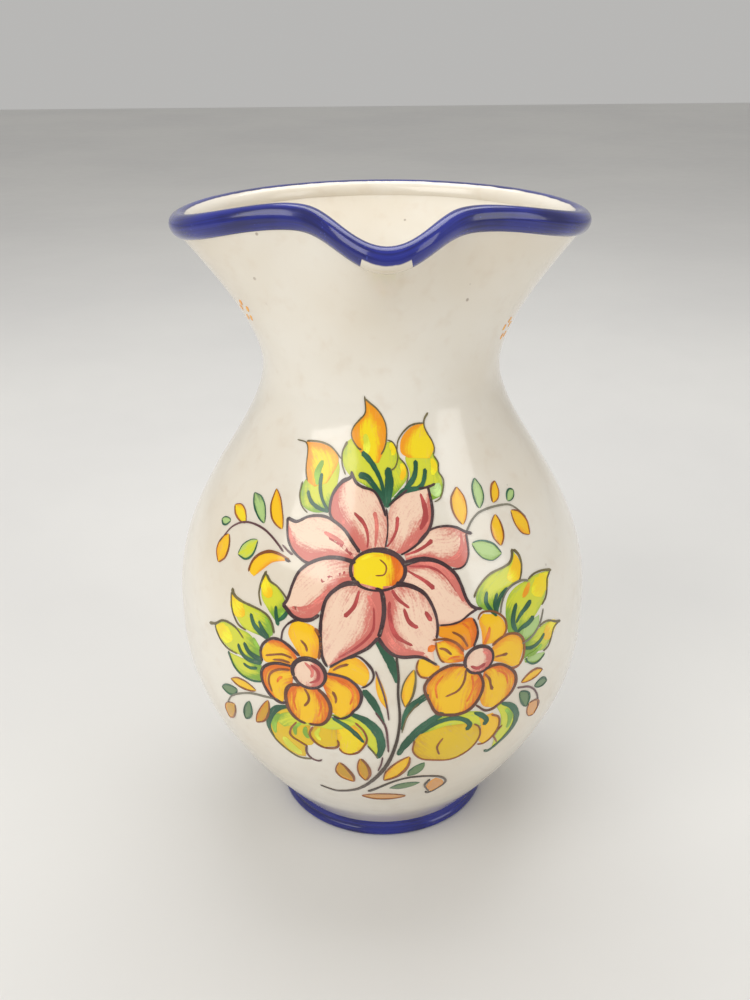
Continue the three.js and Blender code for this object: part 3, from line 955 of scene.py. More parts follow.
ink((1.0, .85, .7, .65, .6, .55), 6.2, 45.3, 12.5, 46.5, 18.2, 45.7, 22.7, 43.4, 26.2, 39.9, 27.8, 36,
    29.1, 30.8,
    31.4, 27.3, 35, 26.1)
ink((.3, .35, .45), 17.8, 23.3, 22.2, 23, 26.1, 23.6, 29.5, 25.3, 33.4, 26.6)
ink((.9, .8, .6, .5, .45), 2.6, 38.6, 6, 38.4, 9.7, 37.2, 13.2, 34.9, 15.4, 31.4, 16.9, 26.8, 17.2, 22,
    16.4, 18.6)
ink((.5, .9, .8, .8, .7), -5, 37.3, -2.6, 36.1, -1.7, 31, -2.1, 26, -3.6, 20.3)
ink((.7, .6, .55, .45), -3.9, 20.5, -1.7, 17.1, 1.1, 14.3, 4.5, 13.1, 9.1, 13, 11.9, 12.2, 14.8, 10.2,
    16.6, 8.8)
ink((.9, .75, .65, .6, .45), -10.6, 38.9, -15.9, 38.4, -19.9, 36, -22.9, 32.5, -24.1, 26.8, -24.2,
    21.1, -23.7, 16,
    -22.9, 11.2, -21.2, 8.2)
ink((.65, .55, .4, .35), -3.6, 20.5, -7.4, 16.5, -12.5, 13.6, -16.5, 11.3, -20.4, 8.4)
ink((.8, .7, .65, .6, .55, .6), -12.6, 45.8, -18.2, 46.8, -22.7, 46.8, -27.3, 45.7, -31.8, 43.4, -35.3,
    39.9, -37, 34.8,
    -37.9, 30.2, -39.7, 27.3)
ink((.8, .7, .7, .6), -39.8, 28, -37.8, 26.7, -35.2, 24.7, -31.8, 23.9, -27.8, 24.7, -25, 26.9)
ink((.6, .5, .5, .45), -45.8, 57.7, -44.4, 53.5, -42.7, 50.1, -39.9, 47.2, -35.8, 44.9, -32.4, 43.8,
    -30, 44.4)
print("the rose's outline: done")

# %% [markdown]
# ## The flame buds and the leaves
# Above the rose stand three flame-shaped buds, orange at the tip and green where they start. To
# the left and right, groups of leaves do the same lying down. All of them share one recipe: a
# green wash below, a yellow or orange wash over its far end, dark green strokes that run together
# at the root, and a thin outline.

# %% Flame buds above the rose
def flame(slot, deep, light, shade, layer, left, right):
    wash(slot, deep, light, shade, layer, left, right)


flame("leaf_paint", LEAF, LIME, edges(.2, .3, .9), 1,
      (-2, 67.5, -10, 72, -18, 75, -22.8, 79, -23.6, 84, -20, 88, -12, 87),
      (1, 67, 7, 71.3, 10.6, 74.5, 11, 78, 8, 81.3, 6.2, 84.4, 3, 87.3))
flame("amber_paint", AMBER, LEMON, edges(1, 1, 0, .9), 3,
      (-10, 80.5, -15.2, 84.6, -18.8, 87.5, -19.6, 90, -18.2, 92.3, -14.7, 95, -12, 97.3, -12.4, 102),
      (-4, 80, -1, 84.5, .3, 88.6, .2, 92.6, -1.8, 95.7, -5.2, 98.4, -9.3, 100.4, -12.4, 102))
flame("leaf_paint", LEAF, LIME, edges(.5, .1, 1), 1, (-27.5, 62, -34, 61.2, -40, 62.8, -42.8, 67,
    -42.4, 71, -38, 77),
      (-26.3, 64, -25, 69, -24.4, 74, -24.6, 78, -27, 81, -31, 82))
flame("amber_paint", AMBER, LEMON, edges(.9, .6, 0, .9), 3, (-36, 70, -40.8, 71.6, -43.3, 76, -44.7,
    81, -46.8, 84.7),
      (-30, 72, -26.5, 77.5, -25.8, 81, -30.5, 84.1, -38, 85.2, -46.8, 84.7))
flame("leaf_paint", LEAF, LIME, edges(.1, .5, 1), 1, (3, 68.3, 10, 71.3, 12.3, 76, 10.5, 81, 12.5, 85),
      (20, 65.8, 27, 67.6, 28.6, 72.5, 27.4, 76, 28, 79, 26, 83))
flame("amber_paint", AMBER, LEMON, edges(1.1, .1, 0, .3), 3, (12, 81.5, 8.3, 83.5, 8.7, 87.5, 12, 90.4,
    17, 92.3, 23.2, 92.6),
      (24, 80.5, 27.2, 83.5, 26.7, 86.8, 24.7, 89.5, 23.2, 92.6))
stroke("leaf_paint", MINT, (1.2, 2.4, 1.4), 21, 70.2, 24.6, 69.4, 26.8, 71.6, layer=3)
stroke("leaf_paint", LIME, (.8, 2.0, 1.2), -12, 80.6, -10.5, 86.4, -12.6, 89.6, layer=4)
stroke("leaf_paint", LEAF, (.8, 1.9, 1.0), -34.6, 70.6, -36, 75.6, -34, 79.4, layer=4)
stroke("amber_paint", LEMON, (1, 1.8, 1), 23.6, 74.8, 25.8, 77.6, 24.6, 80.4, layer=4)
stroke("amber_paint", LEMON, (.8, 1.7, 1), 3.2, 82.6, 4.4, 84.6, 2.2, 86.8, layer=3)
stroke("amber_paint", SUN, (.8, 1.6, 1), 7.2, 74, 9.2, 77, 7.6, 79.6, layer=3)
ink((.35, .3, .35, .45), -13.2, 84.4, -15.2, 84.9, -18.8, 87.6, -19.9, 90, -18.4, 92.5, -14.7, 95.1,
    -12, 97.4, -12.6, 103,
    colour=OLIVE)
ink((.35, .3, .3), -12.4, 102, -9.2, 100.5, -5, 98.5, -1.6, 95.8, .4, 92.6, .5, 88.6, -.7, 85, -2.8,
    82.8, colour=OLIVE)
ink((.7, .35, .3, .3), -21.6, 87, -24, 83.5, -23.4, 79, -20.8, 75.4, colour=OLIVE)
ink((.25, .3, .25), .8, 87.9, 4.1, 87, 5.9, 84.7, 6.5, 81.8, 4.7, 78.4, 2.2, 77.5, colour=OLIVE)
ink((.25, .3, .25), 7, 81.8, 10.4, 79, 11.3, 75.6, 9.8, 72.4, colour=OLIVE)
ink((.2, .3, .35), -53.3, 84.6, -47, 84.4, -44.8, 81.8, -43.7, 77.3, -42.6, 74.4, -40.6, 71.4, colour=OLIVE)
ink((.3, .35, .25), -46.8, 84.9, -43.6, 85.4, -38, 85.6, -32.3, 84.9, -28.3, 83.3, -24.2, 80.7,
    colour=OLIVE)
ink((.45, .3, .25), -43.2, 71, -43, 66.5, -40.3, 62.6, -36.6, 60.6, colour=OLIVE)
ink((.45, .4, .35, .3, .25), 26.6, 96.2, 24, 94.3, 23.2, 92, 24.7, 89.2, 26.9, 86.4, 27.6, 83.5, 26.3,
    81.4, colour=OLIVE)
ink((.25, .35, .3), 23, 92.8, 18.9, 92.9, 14.3, 92.2, 9.8, 90, 6.7, 86.9, 6.2, 83, colour=OLIVE)
ink((.3, .3, .3, .2), 26.4, 81.4, 28.4, 78.4, 27.5, 75.6, 29.3, 72.7, 28, 69.2, 25.6, 66.3, 22.4, 65.4,
    colour=OLIVE)
print("flame buds above the rose: done")

# %% [markdown]
# A loaded brush of dark green runs up from one point between the petals. Each stroke is fat in its
# middle and ends round.

# %% Dark green strokes that run together above the rose
def pine(widths, *numbers, colour=PINE, layer=6):
    stroke("leaf_paint", colour, widths, *numbers, layer=layer)


pine((1.0, 1.2, 1.0, .9, .8), -13.4, 83.6, -9, 81.2, -5, 77.3, -2.2, 72.7, -.4, 65.4)
pine((1.1, 1.3, 1.0, .8), -14.3, 75.6, -10.1, 75.2, -6.1, 72.2, -1.6, 67.8, -.2, 64.6)
pine((1.7, 2.2, 1.8, 1.1), .6, 78.6, 1.5, 74.4, 1, 69.9, .3, 64.6)
pine((1.1, 1.2, 1.1, .5), 15.9, 80.6, 15.4, 77, 13.2, 73.7, 8.6, 70.8)
pine((1.0, 1.0, .8, .4), 20.6, 77.4, 19.5, 74.2, 17.2, 71.4, 12.4, 70.4)
pine((.35, .8, 1.1, .7, .5), 20, 70.7, 14, 70.6, 8.4, 70.2, 4.5, 68, .6, 65.2)
pine((.9, .9, .7, .6), -33.6, 75.2, -33.1, 70.4, -30.6, 65.9, -27, 62.6)
pine((.7, .8, .7, .6), -39.2, 68.4, -36.2, 64.8, -31.1, 62.8, -26.4, 62.3)
print("dark green strokes that run together above the rose: done")

# %% [markdown]
# The side leaves are made in the same way as the buds above: yellow-green wash, yellow tip, dark
# strokes for veins, and a broken outline. They lean outwards and follow the belly.

# %% Leaves on the left
flame("leaf_paint", LEAF, LIME, edges(.2, .2, 1), 1, (-41.5, 21, -46, 25, -49, 28, -50, 32, -49.4, 36.2),
      (-38, 23.5, -39, 29.3, -42.5, 32.8, -46, 34.2, -49.4, 36.2))
stroke("amber_paint", SUN, (1.0, 2.4, 2.0, .4), -44.6, 29.4, -47.2, 31, -48.6, 33, -49.2, 35.6, layer=3)
flame("leaf_paint", LEAF, LIME, edges(.1, .1, 1.1), 1, (-43.5, 14.5, -50, 14.2, -56, 15, -60.5, 18.4,
    -63, 22, -63.9, 26),
      (-42.4, 17, -43.6, 20.6, -47, 22.8, -53, 23.6, -59, 23.9, -63.9, 26))
stroke("amber_paint", SUN, (1.2, 3.0, 2.6, .5), -55.4, 19.4, -58.4, 20.4, -61, 21.8, -63.4, 25, layer=3)
flame("leaf_paint", LEAF, LIME, edges(.2, .1, 1.1), 2, (-46.6, 3.6, -53, 3.3, -60, 3.5, -66, 5, -70.6, 9.4),
      (-47, 8.6, -52, 13, -57, 13.6, -63, 13.4, -67, 12.6, -70.6, 9.4))
stroke("amber_paint", LEMON, (1.4, 3.4, 3.2, .6), -60.4, 8.2, -64, 8.6, -67, 9.2, -70.2, 9.6, layer=3)
flame("leaf_paint", LEAF, LIME, edges(.3, .6, .8), 1, (-46.8, 2.6, -54, 2.4, -62.4, 2), (-46.9, -3.9,
    -51.5, -4.9, -56.5, -4.6, -60.4, -2, -62.4, 2))
pine((.5, .8, .6), -42.4, 26.8, -41.6, 23, -40.4, 19.8)
pine((.5, 1.4, .5), -42, 25.6, -39.6, 24.4, -37, 24.8, colour=LEAF, layer=5)
pine((.6, .8, .5), -37.2, 26.2, -38.6, 23.6, -41, 21.4)
pine((.6, .9, 1.0, .5), -52.8, 21.2, -50.8, 17.6, -47.2, 15.3, -43.6, 13.6)
pine((.5, .8, .6), -48.8, 19.6, -46.4, 16.4, -43.8, 14.6)
pine((.5, .7, .5), -46.2, 21.4, -43.8, 18.6, -42.6, 15.6, colour=LEAF)
pine((.7, 1.0, 1.1, .9), -54.8, 9.4, -52.6, 6.4, -49.4, 5.3, -46, 5.2)
pine((.7, .9, 1.0, .9), -57.6, 7.8, -56, 4.6, -52.4, 3, -46.6, 3.8)
pine((.5, .7, .6), -55.4, .5, -52.4, -.3, -48.6, .9)
pine((.5, .8, .5), -50.6, 12.6, -48.8, 10, -46.6, 8.2, colour=LEAF, layer=5)
ink((.6, .4, .3, .3), -49.2, 37.6, -50.4, 33.5, -50.5, 29, -48.6, 25, colour=OLIVE)
ink((.5, .3, .3), -49, 36.6, -46.4, 34.4, -43.4, 33.6, -40, 31.5, -38, 29.6, colour=OLIVE)
ink((.7, .4, .35, .35), -63.9, 27, -62.5, 25, -58.7, 24, -53.7, 23.8, -49.3, 23.5, -45.5, 22.5, -43,
    20, -41.8, 16.6, colour=OLIVE)
ink((.35, .3, .3), -63.9, 25.6, -63.1, 21.9, -61.2, 18.1, -58, 15, -54, 14.2, colour=OLIVE)
ink((.6, .4, .35, .3), -74.6, 8.9, -70.6, 10.4, -66.9, 13.2, -63.1, 13.9, -58.7, 13.2, -55, 10.6,
    colour=OLIVE)
ink((.35, .3, .3), -70.8, 9.8, -69.8, 7.8, -66.9, 4.9, -63.1, 3.3, -58, 3.3, colour=OLIVE)
ink((.6, .35, .35, .3), -62.9, 2.4, -61.9, 0, -60, -3.1, -56.2, -5.1, -51.2, -5.4, -46.9, -4.2, colour=PINE)
print("leaves on the left: done")

# %% [markdown]
# The right side isn't a mirrored copy. A painter repeats the pattern by eye, so its leaves have
# their own places.

# %% Leaves on the right
flame("leaf_paint", LEAF, LIME, edges(.3, .1, 1), 1, (38.6, 23.6, 33.6, 27, 33.2, 31, 37, 35, 42, 36.9,
    50, 37.9, 54.6, 41.6),
      (42, 24.6, 46, 30, 52, 31, 55.5, 33.5, 56.4, 37.5, 54.6, 41.6))
stroke("amber_paint", SUN, (1.2, 3.0, 2.4, .6), 48, 33.6, 51.6, 34, 54, 36.2, 55, 40.6, layer=3)
flame("leaf_paint", LEAF, LIME, edges(.2, .2, 1), 1, (44.6, 14.6, 44.5, 22, 46.5, 27, 51, 29.5, 57, 30,
    62, 30.3, 67, 29.7, 71.4, 28.6),
      (48, 12.8, 54, 14, 60, 17.2, 65.3, 21, 67.6, 25, 71.4, 28.6))
stroke("amber_paint", LEMON, (1.5, 3.8, 3.4, .8), 58.4, 25, 62.6, 25.4, 66.4, 26.4, 70.2, 28.2, layer=3)
stroke("amber_paint", AMBER, (.6, 1.3, .5), 53.4, 24.8, 56, 26.6, 58.4, 29, layer=4)
flame("leaf_paint", LEAF, LIME, edges(.1, .5, 1), 1, (51, 8.6, 58, 10, 62.5, 10.9, 66.5, 10.4, 72.4, 7.7),
      (51.5, 1.3, 57, 1.8, 63, .6, 66.7, 3.5, 68.5, 6.6, 72.4, 7.7))
stroke("amber_paint", SUN, (1.2, 3.6, 2.6, .5), 62, 6, 65, 6.6, 68, 7.8, 71.8, 7.9, layer=3)
flame("leaf_paint", LEAF, MINT, edges(.2, .7, .4), 1, (52, 1, 57, .9, 63.6, -1), (52.5, -.6, 57, -2.7,
    61, -2.7, 63.6, -1))
flame("leaf_paint", LEAF, MINT, edges(.5, .2, .6), 1, (50.6, 8.8, 49.6, 12, 50.6, 15), (55, 8.8, 59.4,
    11, 60.6, 15.6))
pine((.6, .8, .7, .4), 38, 31.6, 36.8, 28, 38.5, 24.4, 40.6, 21.8)
pine((.5, .8, .6), 42.2, 30, 40.3, 26.2, 40.6, 22.6)
pine((.5, .8, .7, .4), 47.2, 30.6, 43.4, 28.3, 41.4, 25.4, 40.8, 22.4)
pine((.6, 1.0, 1.0, .5), 50, 24, 47.8, 20.2, 47.2, 16.6, 48.8, 12.8)
pine((.9, 1.0, .8, .4), 57.4, 22.6, 54.2, 20.8, 51, 19.2, 48.4, 16.8)
pine((.9, 1.0, .8, .5), 57.6, 16.4, 54.4, 14.8, 50.8, 14.2, 48.6, 13)
pine((.7, .8, .6), 62.8, 7.4, 60, 5.2, 55.6, 4.5, 52, 5.8)
pine((.7, .9, .6), 61.4, 3.4, 57, 1.6, 53.2, 2, colour=LEAF)
ink((.6, .4, .35, .3), 54.2, 42.8, 53.2, 40.4, 51, 38.4, 46.6, 37.7, 42, 37.3, 38, 35.9, 34, 33, 32.2,
    30.4, colour=OLIVE)
ink((.6, .4, .3), 54.8, 42.4, 56.7, 39.9, 56.8, 36.5, 55.2, 33.1, 53.4, 30.9, colour=OLIVE)
ink((.6, .4, .35, .3), 72.8, 28.2, 69.9, 29.5, 65.9, 30.6, 61.4, 30.9, 58, 30, colour=OLIVE)
ink((.45, .45, .35, .3), 58, 29.6, 54.5, 30.9, 49.4, 30.6, 45.5, 28.6, 43.1, 25.1, 42.2, 22.2,
    colour=GREY_LINE)
ink((.4, .35, .3), 71.6, 28.2, 68.9, 26.6, 67.7, 24, 65.9, 20.6, 62.6, 18.6, colour=OLIVE)
ink((.6, .4, .35, .3), 73.8, 7.2, 69.9, 8.9, 65.9, 11.1, 62.5, 11.7, 59.6, 11, colour=OLIVE)
ink((.45, .35, .3), 72.4, 7.6, 68.9, 6.9, 67.1, 3.5, 65.3, .6, 62.2, 0, colour=OLIVE)
ink((.4, .4, .3), 50.6, 8, 54.5, 8.5, 58, 10.2, 61, 13, 63.2, 17, colour=GREY_LINE)
ink((.3, .4, .35), 52.8, 1.4, 53.6, -.6, 56.8, -2.9, 60.2, -3.2, 63.4, -1.6, colour=PINE)
print("leaves on the right: done")

# %% [markdown]
# ## The two orange flowers
# Each has a pink button and round orange petals that overlap like roof tiles. Their washes are
# yellow in the middle and deep orange at the edges, and each petal has one curved brown stroke.

# %% Orange flowers
def tile(shade, left, right, layer=2, deep=ORANGE, light=SUN):
    wash("amber_paint", deep, light, shade, layer, left, right)


def brown(widths, *numbers, colour=BROWN):
    ink(widths, *numbers, colour=colour)


tile(edges(.3, .5, .4), (-31, 10.6, -33.6, 14, -36.2, 18, -35.2, 22, -32.5, 23.4),
     (-25, 10.9, -24.1, 15, -24.7, 19, -27, 22.4, -32.5, 23.4), 2, AMBER)
tile(edges(.2, .9, .5), (-33, 6, -40, 6.3, -45, 4.8, -46.6, 8.2, -45, 12), (-32.4, 9.9, -35, 12.9,
    -38.8, 14.5, -42.5, 14.1, -45, 12), 2)
tile(edges(.9, .4, .4), (-35, 5.6, -41, 4.9, -45.3, 2, -46.4, -1.5, -45.2, -5.5, -42, -9, -38.5, -10),
     (-34, 1, -34.5, -1.5, -36.4, -4, -37, -7, -38.5, -10), 3)
tile(edges(.7, .8, .5), (-31, -1, -34.5, -2.2, -36.4, -6, -36.1, -11, -33.5, -15, -29.5, -16.7),
     (-25.5, -1, -22.4, -4.4, -20.9, -8.5, -21.7, -13, -24.7, -15.9, -29.5, -16.7), 4)
tile(edges(.4, .8, .5), (-23, 1, -21.2, -4.5, -20.2, -9.5, -17, -12.2), (-21.4, 5.5, -15, 4.4, -11.2,
    1.4, -9.9, -3, -11.4, -7.8, -17, -12.2), 3)
tile(edges(.3, .6, .6), (-21.2, 6, -15, 5.2, -11.5, 3.2, -8.5, 2, -6.8, 5), (-20.2, 8.5, -17, 10.6,
    -12.5, 12.9, -9, 11.2, -7, 8, -6.8, 5), 2, AMBER)
wash("rose_paint", ROSE, BLUSH, edges(0, 1.2, .4), 5, *round_spot(-28, 4.5, 5.6, 5.3))
rose_stroke((.4, .7, .6, .3), -27.4, 8.4, -24.6, 6, -24.8, 2.6, -28, .8, layer=6)
rose_stroke((.4, .7, .5), -29.6, 8.8, -26.6, 6, -27.2, 3, colour=ROSE, layer=6)
ring_line(-28, 4.5, 6.1, 5.8, (.8, .6, .5, .7, .9, .9, .7))
brown((.4, .45, .35), -31.4, 16.8, -29.3, 15, -28.7, 12.8)
brown((.45, .4, .35, .35), -34.2, 9.2, -37.6, 9.8, -41, 8.9, -45, 7.4)
brown((.4, .4, .3), -35, 7.3, -38.6, 7.4, -42, 6.6)
brown((.4, .5, .4, .35), -35, 4.4, -39, 3.6, -42.6, 1.2, -43.9, -2.6, -42.6, -7)
brown((.6, .4, .4), -38, .8, -39.6, -.4, -40.4, -2.4, colour=ORANGE)
brown((.45, .5, .45), -29.8, -1.8, -28.3, -4.6, -28.4, -7, -30.2, -9.6)
brown((.35, .4, .3), -32.8, -3.6, -34, -8, -33, -12.6, colour=ORANGE)
brown((.35, .4, .3), -25.4, -3.4, -23.8, -8, -25, -13, colour=ORANGE)
brown((.6, .5, .35), -19.6, -1.1, -18.4, -3.9, -18.6, -6.2)
brown((.4, .45, .35), -17.8, 3.4, -14.2, 1.6, -12.4, -1.8, -13.6, -6.2, colour=ORANGE)
brown((.3, .5, .5), -19.4, 7.2, -17, 9, -13.8, 10.2)
ink((.3, .3, .3, .5, .5), -38.8, 14.6, -38.4, 18.7, -36.4, 21.7, -33.8, 23.4, -32, 24)
ink((.6, .5, .5), -26.3, 22, -24.3, 18.8, -23.9, 15, -24.4, 10.6, colour=BROWN)
ink((.6, .55, .5, .5, .45), -31.4, 10.6, -35, 13.2, -38.8, 14.9, -42.6, 14.6, -45.8, 12, -47.1, 8.7,
    -46.4, 4.3)
ink((.5, .55, .6, .6, .5), -34.2, 6, -38.2, 6, -42, 5.1, -45.7, 2.5, -47, -1.3, -45.8, -5.7, -43.2,
    -8.9, -39.4, -10.6, -36.6, -9.4)
ink((.5, .7, .7, .7, .5), -31.2, -1.2, -34.5, -1.5, -36.8, -4.5, -37, -8.8, -35.8, -13.2, -32.6, -16.4,
    -29.6, -17.1, colour=MAROON)
ink((.5, .7, .7, .6, .5), -25, -1, -22.1, -3.8, -20.4, -8.1, -21.4, -13.2, -24.4, -16.5, -28.9, -17,
    colour=MAROON)
ink((.5, .55, .55, .5, .4), -21.4, 5.8, -18.1, 5.6, -14.3, 4.7, -11.1, 2, -9.5, -1.9, -10.4, -6.3,
    -12.4, -8.8, -13.8, -10.8, -17, -12.5, -19.6, -11.4)
ink((.5, .35, .3, .5, .3, .35), -20.6, 8.2, -18, 10.2, -15, 12.1, -12, 13, -10.6, 13.4, -8, 11.4, -5.7,
    8.2, -5.5, 5, -7.4, 2.4, -9.6, 1.2)

tile(edges(.2, .8, .5), (27, 12.5, 23, 16.4, 20, 18.4, 17.6, 19.4, 17.2, 22.8), (30, 13.4, 31.6, 17.5,
    31.5, 21.5, 30, 24, 24, 23.2, 17.2, 22.8), 2, ORANGE, AMBER)
tile(edges(.5, .3, .4), (33.6, 13, 33.6, 18, 33, 22, 35, 24.2), (38, 12.5, 42.6, 14, 43.6, 18, 41, 22,
    35, 24.2), 2, AMBER)
tile(edges(.3, .6, .4), (37.3, 5.8, 42, 3.4, 46, .5, 49.2, .2), (37.5, 11, 41, 12.8, 45.5, 13.4, 49.6,
    11.1, 51.1, 6.5, 49.2, .2), 3, AMBER)
tile(edges(.4, .6, .5), (34, 2.6, 33.2, -2, 32.5, -7, 34, -12, 38, -14.2), (37.5, 3.3, 42, 2.3, 46.6,
    -2.5, 47.3, -7, 44, -12, 38, -14.2), 3)
tile(edges(.5, .7, .3), (27, 6.4, 21.5, 7.3, 16, 5.2, 12.7, .5, 14.3, -5.5, 17.4, -10.6, 23, -12.4),
     (30.2, 3.4, 32.6, .5, 33.1, -4, 31.5, -8.6, 28, -11.8, 23, -12.4), 4)
tile(edges(.4, .8, .6), (26.4, 8.6, 22, 8.8, 19, 9.6, 17.2, 12.4, 16.4, 17.2), (26.2, 12, 24, 15.4, 20,
    17.5, 16.4, 17.2), 3)
tile(edges(.3, .4, .5), (17.4, 8.3, 13.4, 11.4, 10.3, 11.8), (17.2, 7.3, 14.4, 5, 10.8, 5.4, 9.6, 8.4,
    10.3, 11.8), 2, AMBER)
stroke("amber_paint", ORANGE, (.8, 1.3, .8), 13.2, 14.4, 14.6, 15.4, 16, 16.4, layer=4)
wash("rose_paint", ROSE, BLUSH, edges(.1, .9, .9), 5, *round_spot(32.1, 7.7, 5.1, 4.7))
rose_stroke((.4, .7, .6), 28.6, 6.2, 31.4, 4.6, 34.6, 5.8, layer=6)
rose_stroke((.4, .6, .4), 33.4, 10.8, 35.4, 8.8, 35, 6.4, colour=ROSE, layer=6)
ring_line(32.1, 7.7, 5.6, 5.1, (.55, .45, .4, .5, .7, .6, .55))
brown((.35, .45, .4), 22.2, 20.3, 25.6, 17.9, 27.9, 13.6)
brown((.4, .4, .3), 26.4, 22.8, 29.2, 19.6, 29.6, 16, colour=ORANGE)
brown((.4, .7, .5), 37, 19, 36, 15.8, 34, 13, colour=ORANGE)
brown((.35, .35, .7), 38.4, 7, 41, 6.8, 44, 6.5)
brown((.4, .5, .45, .75), 34.2, 1.6, 36.3, -1.4, 36.9, -4.2, 37.8, -6.4)
brown((.35, .4, .3), 39, 1.4, 43, -1.6, 44.4, -6.4, colour=ORANGE)
brown((.4, .45, .45, .35), 26.9, 5.4, 26.3, .8, 24, -2.8, 19.4, -4.4)
brown((.35, .4, .4), 29, 2.6, 29.8, -3, 27.4, -8.6, colour=ORANGE)
brown((.35, .4, .3), 18.8, 4.6, 16, .6, 16.6, -4.8, colour=ORANGE)
brown((.35, .5, .4), 17.2, 15, 19.4, 14.4, 21.8, 11.9)
brown((.3, .35, .3), 20.2, 10.4, 22.6, 11, 25, 10.6, colour=ORANGE)
ink((.35, .4, .45, .4), 30.7, 23.6, 31.9, 20.6, 31.9, 17.2, 30, 13.2)
ink((.25, .35, .4, .4, .4), 32.6, 22.4, 34.2, 24.7, 38.7, 24.2, 42.1, 21.9, 43.9, 19.4, 43.9, 16, 42,
    13.4, colour=BROWN)
ink((.45, .45, .5, .45, .35), 37.4, 11.6, 39.8, 13.1, 44.3, 14, 48.4, 12.8, 51.2, 9.9, 51.8, 5.2, 50.6,
    1.2, 48.2, -.6, 45.4, .1, colour=BROWN)
ink((.5, .5, .6, .6, .5, .4), 34, 3.4, 37.5, 3.8, 41, 3.2, 45, .2, 47.7, -3.3, 48.2, -7.3, 46.2, -10.8,
    42, -13.2, 38.6, -14.9, 35.2, -14.6, 32.4, -12, 31, -10.8, colour=MAROON)
ink((.45, .5, .5, .6, .7, .6, .5), 26.3, 7, 21.6, 8, 17, 6.6, 13.4, 3.6, 11.9, .1, 13.3, -4, 14.6,
    -7.4, 16.4, -10.7, 19.9, -12.2, 24.4, -13, 28.5, -12.1, 32, -8.6,
    33.8, -3.3, 32.6, 1.2, 30.8, 3.4, colour=MAROON)
ink((.5, .5, .45, .4), 26.3, 12.2, 23.9, 15.7, 19.9, 18, 15, 18.4, colour=BROWN)
ink((.3, .35, .3), 16.4, 17.6, 16.4, 14.9, 17.6, 10.9, 19.2, 9.4, colour=BROWN)
ink((.25, .3, .35, .3), 10.1, 11.8, 9.2, 8.6, 10.7, 5.1, 13.7, 4.2, colour=BROWN)
print("orange flowers: done")

# %% [markdown]
# ## Sprigs, lower leaves and the stem
# Loose leaflets fill the corners: a thin stem with pressed-brush drops on both sides. Below the
# orange flowers two large folded leaves curl outwards, and one dark stem carries everything and
# ends in a curl near the foot.

# %% Sprigs
def sprig_stem(colour, *numbers):
    ink((.35, .4, .35, .2), *numbers, colour=colour)


def drops(*rows):
    for slot, deep, light, base, tip, half_width, bend in rows:
        line = BROWN if slot == "amber_paint" else PINE
        small_leaf(slot, deep, light, base, tip, half_width, bend, line)


sprig_stem(PLUM, -43.6, 45.6, -50, 49.2, -58, 51.4, -67.5, 50.8, -75, 46.6, -79.4, 39)
sprig_stem(GREY_LINE, 34.6, 53.2, 41, 58, 51, 59, 62.5, 57, 68.6, 50.6)
sprig_stem(GREY_LINE, -40, -9.5, -46.3, -10.3, -52.5, -11.4, -58.8, -14.4, -63.9, -18.2, -67.2, -23)
sprig_stem(PLUM, 49, -10, 55.5, -12.4, 60, -17, 62.6, -22.6, 63.8, -27.6)
drops(("amber_paint", AMBER, SUN, (-47, 53.2), (-56.8, 66), 2.3, 1.2), ("leaf_paint", SAGE, MINT, (-57,
    53.2), (-69.5, 61.6), 2.0, -.8),
      ("amber_paint", AMBER, LEMON, (-67.4, 50.6), (-79, 54.2), 1.9, -.6), ("leaf_paint", SAGE, MINT,
      (-77.4, 48.4), (-84, 46.8), 1.2, .4),
      ("amber_paint", AMBER, SUN, (-75.2, 43.8), (-75.8, 32.6), 3.1, -.4), ("leaf_paint", MINT, LIME,
      (-57.6, 46.6), (-65.6, 39.2), 2.5, .9),
      ("amber_paint", AMBER, SUN, (33.8, 56), (35.4, 69.2), 3.0, .4), ("leaf_paint", SAGE, MINT, (44.2,
      60), (46.8, 70.6), 2.3, -.6),
      ("amber_paint", AMBER, SUN, (52.6, 60.4), (58.6, 67.2), 1.8, -.4), ("leaf_paint", SAGE, MINT,
      (61.4, 59), (68.2, 61.4), 1.4, .3),
      ("amber_paint", ORANGE, SUN, (51.4, 56.2), (49.2, 45.2), 2.4, -.6), ("amber_paint", AMBER, SUN,
      (61.2, 55.2), (66.8, 44.4), 2.8, .4),
      ("leaf_paint", LEAF, MINT, (36, 48.8), (48.4, 42.6), 2.6, -.6),
      ("amber_paint", OCHRE, SUN, (-50, -9.2), (-62.6, -9.4), 1.5, -.4), ("leaf_paint", PINE, SAGE,
      (-59.6, -13), (-69, -16.4), 1.7, .5),
      ("leaf_paint", PINE, SAGE, (-53.8, -15.6), (-57.8, -26), 1.5, .4), ("amber_paint", ORANGE, OCHRE,
      (-44.8, -11.6), (-52, -24.8), 1.6, .9),
      ("amber_paint", AMBER, OCHRE, (-62.8, -21.4), (-69.6, -32), 2.2, -.8),
      ("amber_paint", ORANGE, SUN, (51, -8.4), (62.6, -8), 1.5, .5), ("leaf_paint", PINE, SAGE, (58.6,
      -13.6), (66.4, -15.2), 1.5, .5),
      ("leaf_paint", PINE, SAGE, (50.8, -12.6), (55.6, -21.6), 1.8, .8), ("amber_paint", AMBER, PEACH,
      (57, -20.8), (62.2, -29.4), 2.7, .8))
wash("amber_paint", AMBER, SUN, edges(.2, .6, .5), 2, (-40.4, 43, -45, 44.3, -50, 44.2, -54.4, 42.2,
    -57, 38.8, -57.4, 35.4, -54.6, 34.2),
     (-40.4, 43, -43.8, 42.3, -47.6, 40.9, -50.8, 38, -54.6, 34.2))
ink((.3, .5, .6, .5, .4), -40, 43.4, -45, 44.5, -50, 44.4, -54.6, 42.2, -57.3, 38.8, -57.7, 35,
    colour=BROWN)
ink((.6, .5, .4), -42.4, 43.6, -40.6, 43, -39.4, 43, colour=INK)
